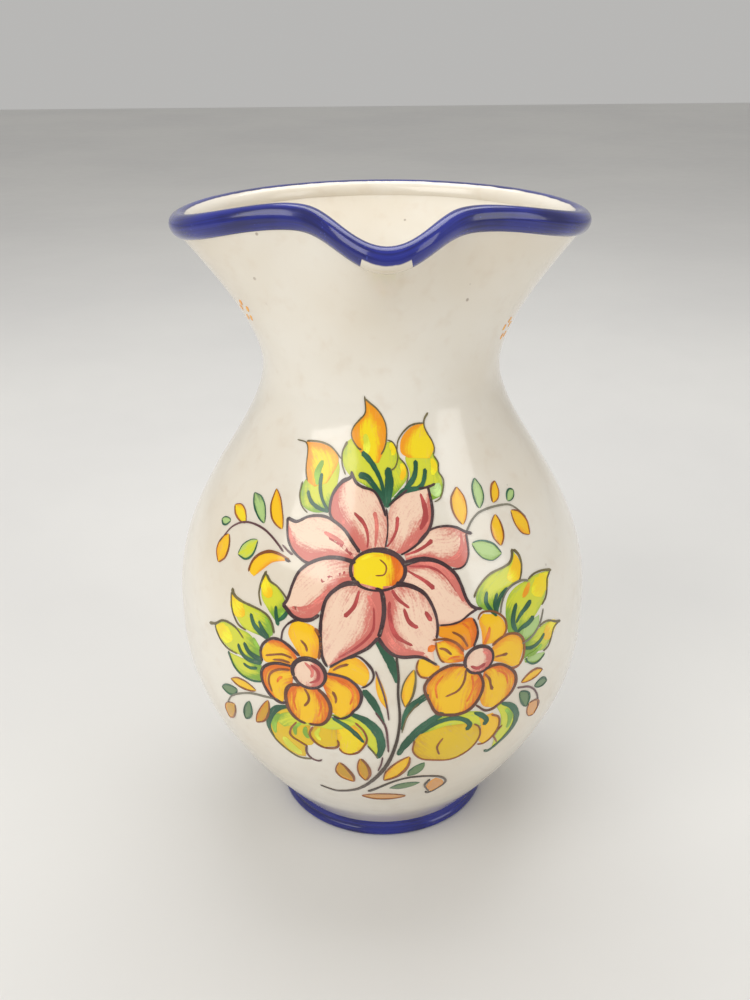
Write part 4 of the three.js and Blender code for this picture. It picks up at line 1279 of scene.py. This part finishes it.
ink((.5, .35, .3), -39, 45.4, -41.8, 46.4, -45, 48, colour=PLUM)
print("sprigs: done")

# %% [markdown]
# This leaf folds over like an acanthus: three yellow lobes hang under a green ridge, and a thick
# dark stroke runs along the ridge and ends in a point.

# %% The lower leaf on the left
flame("amber_paint", OCHRE, GOLD, edges(.2, .1, .2), 1, (-36.5, -11.5, -41.5, -14.6, -44.6, -19, -45.6,
    -24.4, -44.2, -29.4, -40.4, -33.8, -35.6, -36.4),
      (-31, -15, -33.6, -18, -35.8, -21.4, -36, -24.6, -33.6, -27, -31.2, -30.6, -32.4, -35.8))
stroke("leaf_paint", LIME, (1.2, 2.2, 1.6), -40, -27, -37.6, -31.6, -33.6, -34.6, layer=3)
flame("amber_paint", OCHRE, GOLD, edges(.3, .3, .3), 1, (-33.6, -16.8, -36, -21, -36.4, -24.8, -33.4,
    -26.8, -30.6, -28.4), (-28, -16.8, -28.6, -21, -27.6, -25.4, -28.6, -27.6, -30.6, -28.4))
flame("amber_paint", OCHRE, GOLD, edges(.3, .3, .3), 1.5, (-26.6, -17.2, -28.4, -21.8, -26.6, -25.6,
    -23.6, -27.4), (-18.4, -15, -17.6, -19, -18.4, -25.4, -23.6, -27.4))
flame("amber_paint", AMBER, LEMON, edges(.2, .4, .3), 1.5, (-18.6, -15, -18.2, -21, -18, -26.6, -16.2,
    -29.2, -13.6, -29.3), (-12.4, -14.4, -9.4, -17.8, -8.6, -22, -10.2, -26.4, -13.6, -29.3))
flame("leaf_paint", LEAF, LIME, edges(.2, .2, .5), 2, (-21, -11.6, -16, -12.8, -11, -16.2, -8.4, -22,
    -6.2, -27.6, -3.6, -30.6), (-15, -9.4, -9.4, -11.4, -4.8, -15.6, -3, -21, -2.8, -27, -3.6, -30.6))
flame("leaf_paint", LEAF, LIME, edges(.3, .1, .4), 3, (-42.6, -19.4, -38, -14.6, -28, -13, -18, -12.6,
    -10.6, -14),
      (-39, -21.6, -33, -18.8, -26, -17.6, -19, -17.8, -10.6, -14))
stroke("leaf_paint", PINE, (.5, 1.3, 1.4, .9, .4), -36.2, -11.4, -41.2, -13.8, -44.6, -18.6, -46,
    -24.4, -44.4, -29.6, layer=5)
stroke("leaf_paint", LEAF, (.8, 1.2, .8), -40.2, -15.8, -43.2, -21, -43.4, -26.6, layer=4)
stroke("leaf_paint", PINE, (.6, 1.5, 1.6, 1.5, .8), -13.6, -10, -8.8, -12.2, -5, -16.2, -3.1, -21.2,
    -3, -27, -4.4, -31.4, layer=6)
stroke("leaf_paint", PINE, (.6, .9, .9, .5), -20, -12.4, -15, -15.6, -11.4, -19.4, -9, -23, layer=6)
stroke("leaf_paint", LEAF, (.4, .8, .8, .4), -31.6, -17.4, -34.4, -20.4, -34.6, -24.4, layer=5)
stroke("leaf_paint", LEAF, (.5, 1.0, .8), -30, -18.6, -30.6, -22, -29.2, -24.4, layer=5)
stroke("leaf_paint", LIME, (.5, .9, .8), -24.6, -18, -26.2, -21.4, -24.8, -24.2, layer=5)
ink((.4, .4, .4, .35), -45.8, -25, -44.2, -30, -40.6, -34, -36.2, -37, -32.6, -37, -29.6, -36, colour=OLIVE)
ink((.4, .4, .3), -30.8, -28.6, -31.4, -33, -29.6, -36.2, -27, -36.6, -25.6, -35.4, colour=PLUM)
ink((.3, .4, .45, .4), -33.4, -17.4, -36, -21.2, -36.8, -25, -33.8, -27, -30.4, -28.8, colour=BROWN)
ink((.35, .45, .4, .4), -27.2, -18, -28.9, -22, -27, -25.8, -23.8, -27.7, -19.4, -27, -18.2, -24.6,
    -18.6, -22.6, colour=BROWN)
ink((.3, .4, .4, .35), -18.2, -26.9, -16.3, -29.6, -11.9, -28.9, -9.2, -25, -7.9, -21.2, -9.2, -16.9,
    -12, -13.6, colour=BROWN)
ink((.3, .35, .3), -7.8, -24.4, -5.6, -28, -4.2, -31, colour=OLIVE)
ink((.35, .4, .4, .3), -4.9, -8.6, -1.5, -14.8, -.6, -22.2, -.3, -28, colour=PLUM)
ink((.3, .35, .25), -2.4, -30.6, -3, -35, -4.3, -39.4, colour=PLUM)
print("the lower leaf on the left: done")

# %% [markdown]
# The same leaf on the other side, with one large lobe, a narrow one behind it and a green tip that
# curls down.

# %% The lower leaf on the right
flame("leaf_paint", LEAF, LIME, edges(.3, .5, .5), 1, (13, -15, 20, -12.6, 27, -12.6, 34, -15, 37.6,
    -19.6), (10, -21, 18, -19, 26, -19.4, 33, -22, 37.6, -19.6))
flame("amber_paint", OCHRE, GOLD, edges(.4, .2, .2), 2, (10.6, -19.6, 8.8, -23.4, 8.8, -28, 12, -32.4,
    17, -34.4, 22.4, -35.8, 26.4, -35.4),
      (20, -17.4, 28, -18.4, 33, -21.6, 34, -27, 31.4, -32.2, 26.4, -35.4))
flame("amber_paint", AMBER, SUN, edges(.3, .3, .2), 1, (33, -17, 34.4, -23, 34.2, -29, 36.6, -31.8),
    (38.6, -17, 41.8, -21, 42, -26, 39.8, -30, 36.6, -31.8))
flame("leaf_paint", LEAF, LIME, edges(.1, .9, .3), 1, (40, -14.6, 42.6, -20, 43.4, -26, 42, -30, 42,
    -36.4), (43, -14, 47.6, -17.4, 50.4, -22.4, 50.6, -27.6, 48, -32.4, 42, -36.4))
pine((.8, 1.5, 1.6, 1.4, 1.0), 3.2, -29.8, 5, -25.4, 9, -19.2, 13.6, -14.6, 19, -11)
pine((.4, .9, .9, .9, 1.0, 1.2), 10.8, -19.4, 15.8, -15.5, 21.6, -14.3, 26.2, -15.7, 29.4, -19, 28, -21.6)
pine((.5, 1.0, 1.0, 1.1), 30.6, -14, 34, -16.4, 36.4, -19.6, 34.8, -21.2)
pine((.5, 1.3, 1.4, 1.2, .7, .6), 42, -13.9, 46.8, -16.9, 50.2, -22, 50.8, -27.2, 48.4, -31.9, 44.9,
    -35.3, 40.9, -38.2, 38.4, -36.8)
stroke("leaf_paint", LEAF, (.6, 1.2, .8), 44.4, -17.4, 47.4, -22.4, 47.2, -28.4, layer=4)
ink((.3, .35, .35, .35, .3), 9, -22.4, 8.6, -28, 11.8, -32.7, 17, -34.7, 22.4, -36.1, 26.8, -35.6,
    31.6, -32.4, 34.3, -27, 33.4, -21.8, 31, -19.4, colour=BROWN)
ink((.3, .4, .35), 19.5, -23, 17.5, -27.2, 18.8, -31.9, colour=BROWN)
ink((.4, .4, .35, .3), 38, -17.6, 41.4, -19.8, 42.4, -23, 42.2, -26, 40, -30, 37, -31.9, 34, -31.2,
    colour=BROWN)
ink((.3, .4, .35), 44.2, -25.2, 41, -29.2, 42.4, -32, 43.8, -34.6, colour=BROWN)
print("the lower leaf on the right: done")

# %% [markdown]
# One dark line carries the whole bunch. It thickens in its lower half, and thin leaves and two
# curls spring from it near the foot.

# %% The stem and what grows from it
pine((.4, 1.5, 1.6, .7), -4.8, 19.2, -1, 14.2, 1.4, 9, 2.8, 3)
ink((.4, .45, .45, .6, .8, .75, .6, .45), 2.4, 13.4, 3.1, 6, 2.9, -1, 3.5, -9, 3.4, -15, 2.6, -22.2,
    .3, -31.9, -3.1, -40.4, -8.2, -48.9, -13.3, -54.6,
    -18.4, -57.4, -24.1, -58.9, -30.6, -56.6, colour=STEM_BROWN)
pine((1.1, 1.4, .9, .3), -9, .4, -6.2, -3.6, -3.6, -9, -1.6, -14.8)
pine((1.3, 1.4, .8, .3), 13.6, -2.4, 8.6, -6, 5.6, -9.6, 4.2, -17)
ink((.3, .3, .25), 10.2, -5.4, 6.2, -10.8, 4.3, -18.4, colour=OLIVE)
small_leaf("amber_paint", AMBER, SUN, (-4.3, 6.4), (-.8, -7.6), 1.1, -.3)
ink((.3, .35, .3, .25), -4.7, 8.2, -2.4, .6, -.9, -6.4, -.2, -12.4, colour=PLUM)
small_leaf("amber_paint", AMBER, SUN, (8.4, 8), (5.4, -7), 1.7, -.5, OLIVE, .28)
small_leaf("amber_paint", AMBER, OCHRE, (-18.8, -35.6), (-14.2, -48.2), 2.3, -1.4, BROWN, .4)
small_leaf("amber_paint", AMBER, OCHRE, (-10.6, -32), (-9.2, -46.6), 1.8, .2, BROWN, .42)
small_leaf("amber_paint", AMBER, SUN, (7.4, -31), (-2, -46.2), 2.4, .3, BROWN, .42)
small_leaf("leaf_paint", PINE, SAGE, (13.4, -35.6), (7.4, -43.8), 1.9, .2)
small_leaf("leaf_paint", PINE, SAGE, (13, -50), (.4, -53.2), 1.9, -.2)
small_leaf("amber_paint", OCHRE, PEACH, (8, -61.4), (-12, -61), 2.2, 0, BROWN, .32)
small_leaf("amber_paint", AMBER, PEACH, (19.6, -48.6), (19.8, -60), 3.1, .6)
ink((.7, .5, .45, .45, .5, .45, .5), -9, -56.4, -5.9, -54, -1.4, -50, 3.2, -46.7, 8.3, -44.9, 14.5,
    -45.2, 20.2, -47.2, 23.6, -50, 25.1, -54, 23.1, -57.4,
    20.2, -60.3, 18.3, -61.2, 16.8, -59.4, colour=STEM_BROWN)
ink((.5, .4, .35), 17.2, -48.4, 15.5, -52.9, 16.9, -56.4, 18.6, -59.8, colour=STEM_BROWN)
print("the stem and what grows from it: done")

# %% [markdown]
# Two small groups of orange dabs sit on the sides of the flare, five touches of the brush each.

# %% Small dabs on the neck
NECK_DABS = ((-1, 97, 127), (1, 93, 119))
for side, centre_x, centre_y in NECK_DABS:
    for index in range(5):
        swing = math.radians(72 * index + 20)
        place = (side * centre_x + 4.4 * math.cos(swing), centre_y + 3.4 * math.sin(swing))
        stroke("amber_paint", AMBER, (.5, 1.1, .5), place[0] - 1.6, place[1] - .8, *place,
            place[0] + 1.6, place[1] + .8, layer=2)

wash_count = sum(len(v) for v in washes.values())
stroke_count = sum(len(v) for v in strokes.values())
print(wash_count, "washes and", stroke_count, "strokes on paper")

# %% [markdown]
# ## From paper to clay
# First the washes become flat meshes and the strokes become lines with a width at each point.
# Each point also carries what the glaze needs to know: the pigment's deep and light colours, how
# deep the wash is there, where it lies across and along the brush mark, and its layer.

# %% Flat meshes with their paint on them
LAYER = 0.03


def store(mesh, facts, deep, light, brush):
    """Write each point's facts on the mesh, under the names that the pigments read."""
    def write(name, kind, field, values):
        flat_values = np.asarray(values, np.float32).ravel()
        mesh.attributes.new(name, kind, "POINT").data.foreach_set(field, flat_values)

    for name, values in facts.items():
        write(name, "FLOAT", "value", values)
    write("deep", "FLOAT_COLOR", "color", deep)
    write("light", "FLOAT_COLOR", "color", light)
    write("brush", "FLOAT_VECTOR", "vector", brush)


def wash_mesh(name, items):
    points, faces, shade, rim, lift, seed, deep, light, brush = [], [], [], [], [], [], [], [], []
    across = np.linspace(0, 1, SHEET_COLUMNS + 1)
    for number, (deep_colour, light_colour, rule, layer, left, right) in enumerate(items):
        start = len(points)
        left, right = smooth_path(left, SHEET_ROWS + 1), smooth_path(right, SHEET_ROWS + 1)
        length = np.hypot(*(left[-1] + right[-1] - left[0] - right[0]) / 2)
        for row in range(SHEET_ROWS + 1):
            v = row / SHEET_ROWS
            width = np.hypot(*(right[row] - left[row]))
            for u in across:
                x, y = left[row] + (right[row] - left[row]) * u
                points.append((x * MM, y * MM, 0.0))
                shade.append(float(rule(u, v)))
                rim.append(max(abs(2 * u - 1), 1 - 8 * v, 8 * v - 7))
                brush.append(((u - 0.5) * width, v * length, number * 1.7))
        count = (SHEET_ROWS + 1) * (SHEET_COLUMNS + 1)
        lift += [((2 + layer) * LAYER + number % 9 * 0.003) * MM] * count
        seed += [number * 1.7] * count
        deep += [deep_colour] * count
        light += [light_colour] * count
        step = SHEET_COLUMNS + 1
        # The left edge may stand on either side, so each wash is wound to face off the paper.
        ring = list(left) + list(right[::-1])
        area = sum(a[0] * b[1] - b[0] * a[1] for a, b in zip(ring, ring[1:] + ring[:1]))
        for row in range(SHEET_ROWS):
            for column in range(SHEET_COLUMNS):
                a = start + row * step + column
                quad = (a, a + 1, a + step + 1, a + step)
                faces.append(quad if area < 0 else quad[::-1])
    mesh = bpy.data.meshes.new(name)
    mesh.from_pydata(points, [], faces)
    facts = {"shade": shade, "rim": rim, "lift": lift, "half_width": [0.0] * len(points), "seed": seed}
    store(mesh, facts, deep, light, brush)
    return mesh


def stroke_mesh(name, items):
    points, links, shade, lift, half, seed, deep, light = [], [], [], [], [], [], [], []
    for number, (colour, light_colour, widths, layer, places) in enumerate(items):
        start = len(points)
        count = max(len(places), 4)
        path = smooth_path(places, max(count, 2 * len(places) - 1))
        for index, (x, y) in enumerate(path):
            share = index / (len(path) - 1)
            points.append((x * MM, y * MM, 0.0))
            half.append(float(np.interp(share, np.linspace(0, 1, len(widths)), widths)) * MM)
            shade.append(0.62 + 0.3 * math.cos(share * 5 + number))
        links += [(start + i, start + i + 1) for i in range(len(path) - 1)]
        lift += [((2 + layer) * LAYER + number % 9 * 0.003) * MM] * len(path)
        seed += [number * 1.3] * len(path)
        deep += [colour] * len(path)
        light += [tuple(min(1.0, c * 1.5 + 0.02) for c in light_colour[:3]) + (1.0,)] * len(path)
    mesh = bpy.data.meshes.new(name)
    mesh.from_pydata(points, links, [])
    store(mesh, {"shade": shade, "rim": [0.0] * len(points), "lift": lift, "half_width": half,
        "seed": seed},
          deep, light, [(0.0, 0.0, 0.0)] * len(points))
    return mesh
print("flat meshes with their paint on them: done")

# %% [markdown]
# The tree below bends flat geometry onto the jug. Across becomes an angle round the axis and up
# becomes a length along the wall's outline, so nothing is stretched along the wall. The ray then
# finds the real surface, with all its ripples, and the paint is given a little thickness.

# %% Bending paper onto the jug
paper_sizes = {"Paper Radius": 80.0 * MM, "Sunk": 0.2 * MM, "Reach": 9.0 * MM, "Step": 0.7 * MM,
               "Jug": jug_wall,
               **{k: wall_sizes[k] for k in wall_sizes if k.startswith(("Base", "Belly", "Waist"))},
               "Flare Handle": wall_sizes["Flare Handle"], **lip_sizes}


def named(tree, name, kind="FLOAT"):
    return add_node(tree, "GeometryNodeInputNamedAttribute", {"data_type": kind}, {"Name": name})


def onto_jug(tree, size, flat):
    x, y, unused = split(add_node(tree, "GeometryNodeInputPosition"))
    azimuth = x / size["Paper Radius"]
    side_azimuth = size["Paper Radius"] * 0 + math.radians(75)

    def outline(points, length):
        names = ("Start", "Start Handle", "End Handle", "End")
        ends = {n: vector_of(p[0], 0.0, p[1]) for n, p in zip(names, points)}
        curve = add_node(tree, "GeometryNodeCurvePrimitiveBezierSegment", {"mode": "POSITION"},
                         {"Resolution": 200, **ends})
        total = curve.node("GeometryNodeCurveLength", {}, {"Curve": curve})
        sample = curve.node("GeometryNodeSampleCurve", {"mode": "LENGTH", "use_all_curves": True},
                            {"Curves": curve, "Length": length}, "Position")
        r, unused, z = split(sample)
        tr, unused, tz = split(sample.out("Tangent"))
        way = tz.math("SIGN")
        return (r, z, tz * way, tr * way * -1.0), total

    below, unused = outline(lower_curve(size)[::-1], y * -1.0)
    above, upper_length = outline(upper_curve(size), y)
    # The neck's outline depends on the azimuth, and this one is taken at the jug's side.
    beyond, unused = outline(flare_curve(side_azimuth, size), y - upper_length)
    is_below = y.math("LESS_THAN", 0.0)
    is_beyond = y.math("GREATER_THAN", upper_length)
    r, z, nr, nz = (choose(is_beyond, choose(is_below, a, b), c) for a, b, c in zip(above, below, beyond))
    normal = vector_of(nr * sin(azimuth), nr * cos(azimuth) * -1.0, nz)
    place = round_place(r, z, azimuth)
    marked = flat.node("GeometryNodeStoreNamedAttribute", {"data_type": "FLOAT_VECTOR", "domain": "POINT"},
                       {"Geometry": flat, "Name": "off_wall", "Value": normal})
    jug = add_node(tree, "GeometryNodeObjectInfo", {}, {"Object": size["Jug"]}, "Geometry")
    ray = {"Target Geometry": jug, "Source Position": place + normal * size["Reach"],
           "Ray Direction": normal * -1.0, "Ray Length": size["Reach"] * 3.0}
    hit = jug.node("GeometryNodeRaycast", {}, ray, "Hit Position")
    below_skin = hit - normal * size["Sunk"]
    sunk = marked.node("GeometryNodeSetPosition", {}, {"Geometry": marked, "Position": below_skin})
    thick = sunk.node("GeometryNodeExtrudeMesh", {"mode": "FACES"},
                      {"Mesh": sunk, "Offset": named(tree, "off_wall", "FLOAT_VECTOR"),
                       "Offset Scale": named(tree, "lift") + size["Sunk"], "Individual": False})
    under = sunk.node("GeometryNodeFlipFaces", {}, {"Mesh": sunk})
    closed = merged(joined([thick, under]), 0.0000005)
    smooth = closed.node("GeometryNodeSetShadeSmooth", {"domain": "FACE"},
                         {"Geometry": closed, "Shade Smooth": True})
    fold = add_node(tree, "GeometryNodeInputMeshEdgeAngle").math("GREATER_THAN", 0.6)
    return smooth.node("GeometryNodeSetShadeSmooth", {"domain": "EDGE"},
                       {"Geometry": smooth, "Selection": fold, "Shade Smooth": False})


def group_start(tree):
    return Wire(next(n for n in tree.nodes if n.bl_idname == "NodeGroupInput").outputs["Geometry"])


def wash_group():
    tree, size = geometry_group("lay_wash", paper_sizes)
    finish_group(tree, size, onto_jug(tree, size, group_start(tree)), smooth=False)
    return tree


def brush_group():
    """Lines become ribbons with round ends, lying flat on the paper, before they are bent."""
    tree, size = geometry_group("lay_stroke", paper_sizes)
    start = group_start(tree)
    line = start.node("GeometryNodeMeshToCurve", {}, {"Mesh": start})
    line = line.node("GeometryNodeCurveSplineType", {"spline_type": "CATMULL_ROM"}, {"Curve": line})
    line = line.node("GeometryNodeResampleCurve", {"mode": "LENGTH"}, {"Curve": line,
    "Length": size["Step"]})
    travelled = add_node(tree, "GeometryNodeSplineParameter", {}, {}, "Length")
    whole = add_node(tree, "GeometryNodeSplineLength")
    half = named(tree, "half_width")
    to_end = travelled.math("MINIMUM", whole - travelled)
    near = (to_end / half).math("MINIMUM", 1.0)
    rounding = (1 - (1 - near) * (1 - near)).math("MAXIMUM", 0.0).math("SQRT")
    hand = noise(vector_of(travelled * 400.0, named(tree, "seed"), 0.0), 1.0, 1.0) * 0.5 + 0.75
    line = line.node("GeometryNodeStoreNamedAttribute", {"data_type": "FLOAT", "domain": "POINT"},
                     {"Geometry": line, "Name": "travelled", "Value": travelled})
    line = line.node("GeometryNodeStoreNamedAttribute", {"data_type": "FLOAT", "domain": "POINT"},
                     {"Geometry": line, "Name": "half_width", "Value": half * rounding * hand})
    line = line.node("GeometryNodeSetCurveNormal", {"mode": "Z_UP"}, {"Curve": line})
    track = add_node(tree, "GeometryNodeCurvePrimitiveLine", {"mode": "POINTS"}, {"Start": (-1.0, 0,
    0), "End": (1.0, 0, 0)})
    track = track.node("GeometryNodeResampleCurve", {}, {"Curve": track, "Count": 4})
    track_x, unused, unused = split(add_node(tree, "GeometryNodeInputPosition"))
    track = track.node("GeometryNodeStoreNamedAttribute", {"data_type": "FLOAT", "domain": "POINT"},
                       {"Geometry": track, "Name": "across", "Value": track_x})
    ribbon = line.node("GeometryNodeCurveToMesh", {}, {"Curve": line, "Profile Curve": track,
                       "Scale": named(tree, "half_width")})
    across, width = named(tree, "across"), named(tree, "half_width")
    for name, kind, value in (("rim", "FLOAT", across.math("ABSOLUTE")),
                              ("brush", "FLOAT_VECTOR", vector_of(across * width * 1000.0, named(tree,
                              "travelled") * 1000.0,
                                                                  named(tree, "seed")))):
        ribbon = ribbon.node("GeometryNodeStoreNamedAttribute", {"data_type": kind, "domain": "POINT"},
                             {"Geometry": ribbon, "Name": name, "Value": value})
    finish_group(tree, size, onto_jug(tree, size, ribbon), smooth=False)
    return tree
print("bending paper onto the jug: done")

# %% [markdown]
# The pigments share one recipe. Deep and light colour come from the brush mark itself. Streaks
# that run with the brush, a darker pool where the wash dried at its edge, and thin places where
# the white shows through, make it look painted and not printed.

# %% Pigments in the glaze
def pigment_material(name, streak=0.5, pool=0.35, thin=0.25, grain=0.3, weight=0.0):
    glaze, tree, shader, where = start_glaze(name)
    def fact(label, output="Fac"):
        return add_node(tree, "ShaderNodeAttribute", {"attribute_name": label}, {}, output)
    bx, by, seed = split(fact("brush", "Vector"))
    lines = noise(vector_of(bx * 1.5 + seed * 3.1, by * 0.16 + seed, seed), 1.0, 3.0, 0.55)
    wet = noise(where, 210.0, 2.0)
    fine = noise(where, 1500.0, 2.0) - 0.5
    load = fact("shade") + (lines - 0.5) * streak * 2.0 + (wet - 0.5) * 0.5 + fine * grain + weight
    depth = smooth_step(load, 0.12, 0.78)
    colour = mixed(depth, fact("light", "Color"), fact("deep", "Color"))
    rim = smooth_step(fact("rim") + (wet - 0.5) * 0.3, 0.78, 1.0)
    colour = mixed(rim * pool, colour, fact("deep", "Color"))
    bare = smooth_step(lines * 0.6 + wet * 0.4 + fine * grain * 0.4, 0.56, 0.78) * thin
    colour = mixed(bare, colour, CREAM)
    plug(tree, shader, Base_Color=colour, Normal=glaze_ripple(where),
         Roughness=smooth_step(wet, 0.2, 0.8, 0.10, 0.2))
    return glaze


pigments = {"rose_paint": pigment_material("rose_paint", 0.5, 0.3, 0.3, 0.65, 0.10),
            "amber_paint": pigment_material("amber_paint", 0.5, 0.35, 0.18),
            "leaf_paint": pigment_material("leaf_paint", 0.5, 0.3, 0.28),
            "line_paint": pigment_material("line_paint", 0.5, 0.1, 0.3, 0.8)}
print("pigments in the glaze: done")

# %% [markdown]
# Each slot gets two pieces, its washes and its strokes. They share one pigment, but the strokes
# need another tree, which first turns a line into a ribbon.

# %% Laying the paint
painted = []
lay_wash, lay_stroke = wash_group(), brush_group()
for slot_name in washes:
    flat = wash_mesh("flat_washes", washes[slot_name])
    name = slot_name.replace("paint", "washes")
    painted.append((made_by(lay_wash, name, paper_sizes, pigments[slot_name], flat), slot_name))
for slot_name in strokes:
    flat = stroke_mesh("flat_strokes", strokes[slot_name])
    name = slot_name.replace("paint", "strokes")
    painted.append((made_by(lay_stroke, name, paper_sizes, pigments[slot_name], flat), slot_name))
print("laying the paint: done")

# %% [markdown]
# ## Studio
# A pale floor that runs up into nothing, and soft light from large panels, as for a catalogue
# picture. A glossy jug shows every lamp, so there are few of them and they are large.

# %% Floor and light
def floor_material():
    ground = bpy.data.materials.new("studio_floor")
    ground.use_nodes = True
    tree = ground.node_tree
    where = add_node(tree, "ShaderNodeTexCoord", {}, {}, "Object")
    mottle = smooth_step(noise(where, 3.0, 3.0), 0.3, 0.7)
    pale, less_pale = srgb(226, 225, 222), srgb(220, 219, 217)
    plug(tree, tree.nodes["Principled BSDF"], Base_Color=mixed(mottle, pale, less_pale),
         Roughness=smooth_step(noise(where, 40.0, 2.0), 0.3, 0.7, 0.55, 0.7))
    return ground


floor_mesh = bpy.data.meshes.new("studio_floor")
HALF_FLOOR = 3.0
floor_mesh.from_pydata([(-HALF_FLOOR, -HALF_FLOOR, 0), (HALF_FLOOR, -HALF_FLOOR, 0),
                        (HALF_FLOOR, HALF_FLOOR, 0), (-HALF_FLOOR, HALF_FLOOR, 0)], [], [(0, 1, 2, 3)])
floor_mesh.materials.append(floor_material())
studio_floor = bpy.data.objects.new("studio_floor", floor_mesh)
bpy.context.scene.collection.objects.link(studio_floor)


def soft_panel(name, place, aim, width, height, power, colour=(1.0, 1.0, 1.0)):
    lamp = bpy.data.lights.new(name, "AREA")
    lamp.shape = "RECTANGLE"
    lamp.size, lamp.size_y = width, height
    lamp.energy, lamp.color = power, colour
    panel = bpy.data.objects.new(name, lamp)
    bpy.context.scene.collection.objects.link(panel)
    panel.location = place
    panel.rotation_euler = (Vector(aim) - Vector(place)).to_track_quat("-Z", "Y").to_euler()
    return panel


JUG_MIDDLE = (0.0, AXIS_Y, 0.13)
soft_panel("key_panel", (-0.75, -0.75, 0.95), JUG_MIDDLE, 0.9, 1.0, 8.4, (1.0, 0.975, 0.93))
soft_panel("fill_panel", (0.95, -0.55, 0.60), JUG_MIDDLE, 0.50, 0.8, 2.4, (1.0, 0.985, 0.96))
soft_panel("top_panel", (0.05, 0.35, 1.15), JUG_MIDDLE, 0.9, 0.7, 6.0)

world = bpy.data.worlds.new("studio_air")
world.use_nodes = True
world.node_tree.nodes["Background"].inputs["Color"].default_value = (0.96, 0.95, 0.93, 1.0)
world.node_tree.nodes["Background"].inputs["Strength"].default_value = 0.50
bpy.context.scene.world = world
bpy.context.scene.view_settings.view_transform = "Standard"
print("studio ready")

# %% [markdown]
# ## Which body each piece rides on
# Every piece rides on the jug's one body, and the CAD nodes that a piece stands for are hidden.

# %% Riding, and hiding what is replaced
for piece, slot_name, nodes in (
    (jug_wall, "white_glaze", ("body", "neck")),
    (jug_lip, "cobalt_glaze", ("rim_roll",)),
    (jug_foot, "cobalt_glaze", ("foot_ring",)),
    (jug_handle, "white_glaze", ("handle", "handle_upper_pad", "handle_lower_pad")),
):
    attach(piece, "root")
    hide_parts(*nodes)
for piece, slot_name in painted:
    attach(piece, "root")
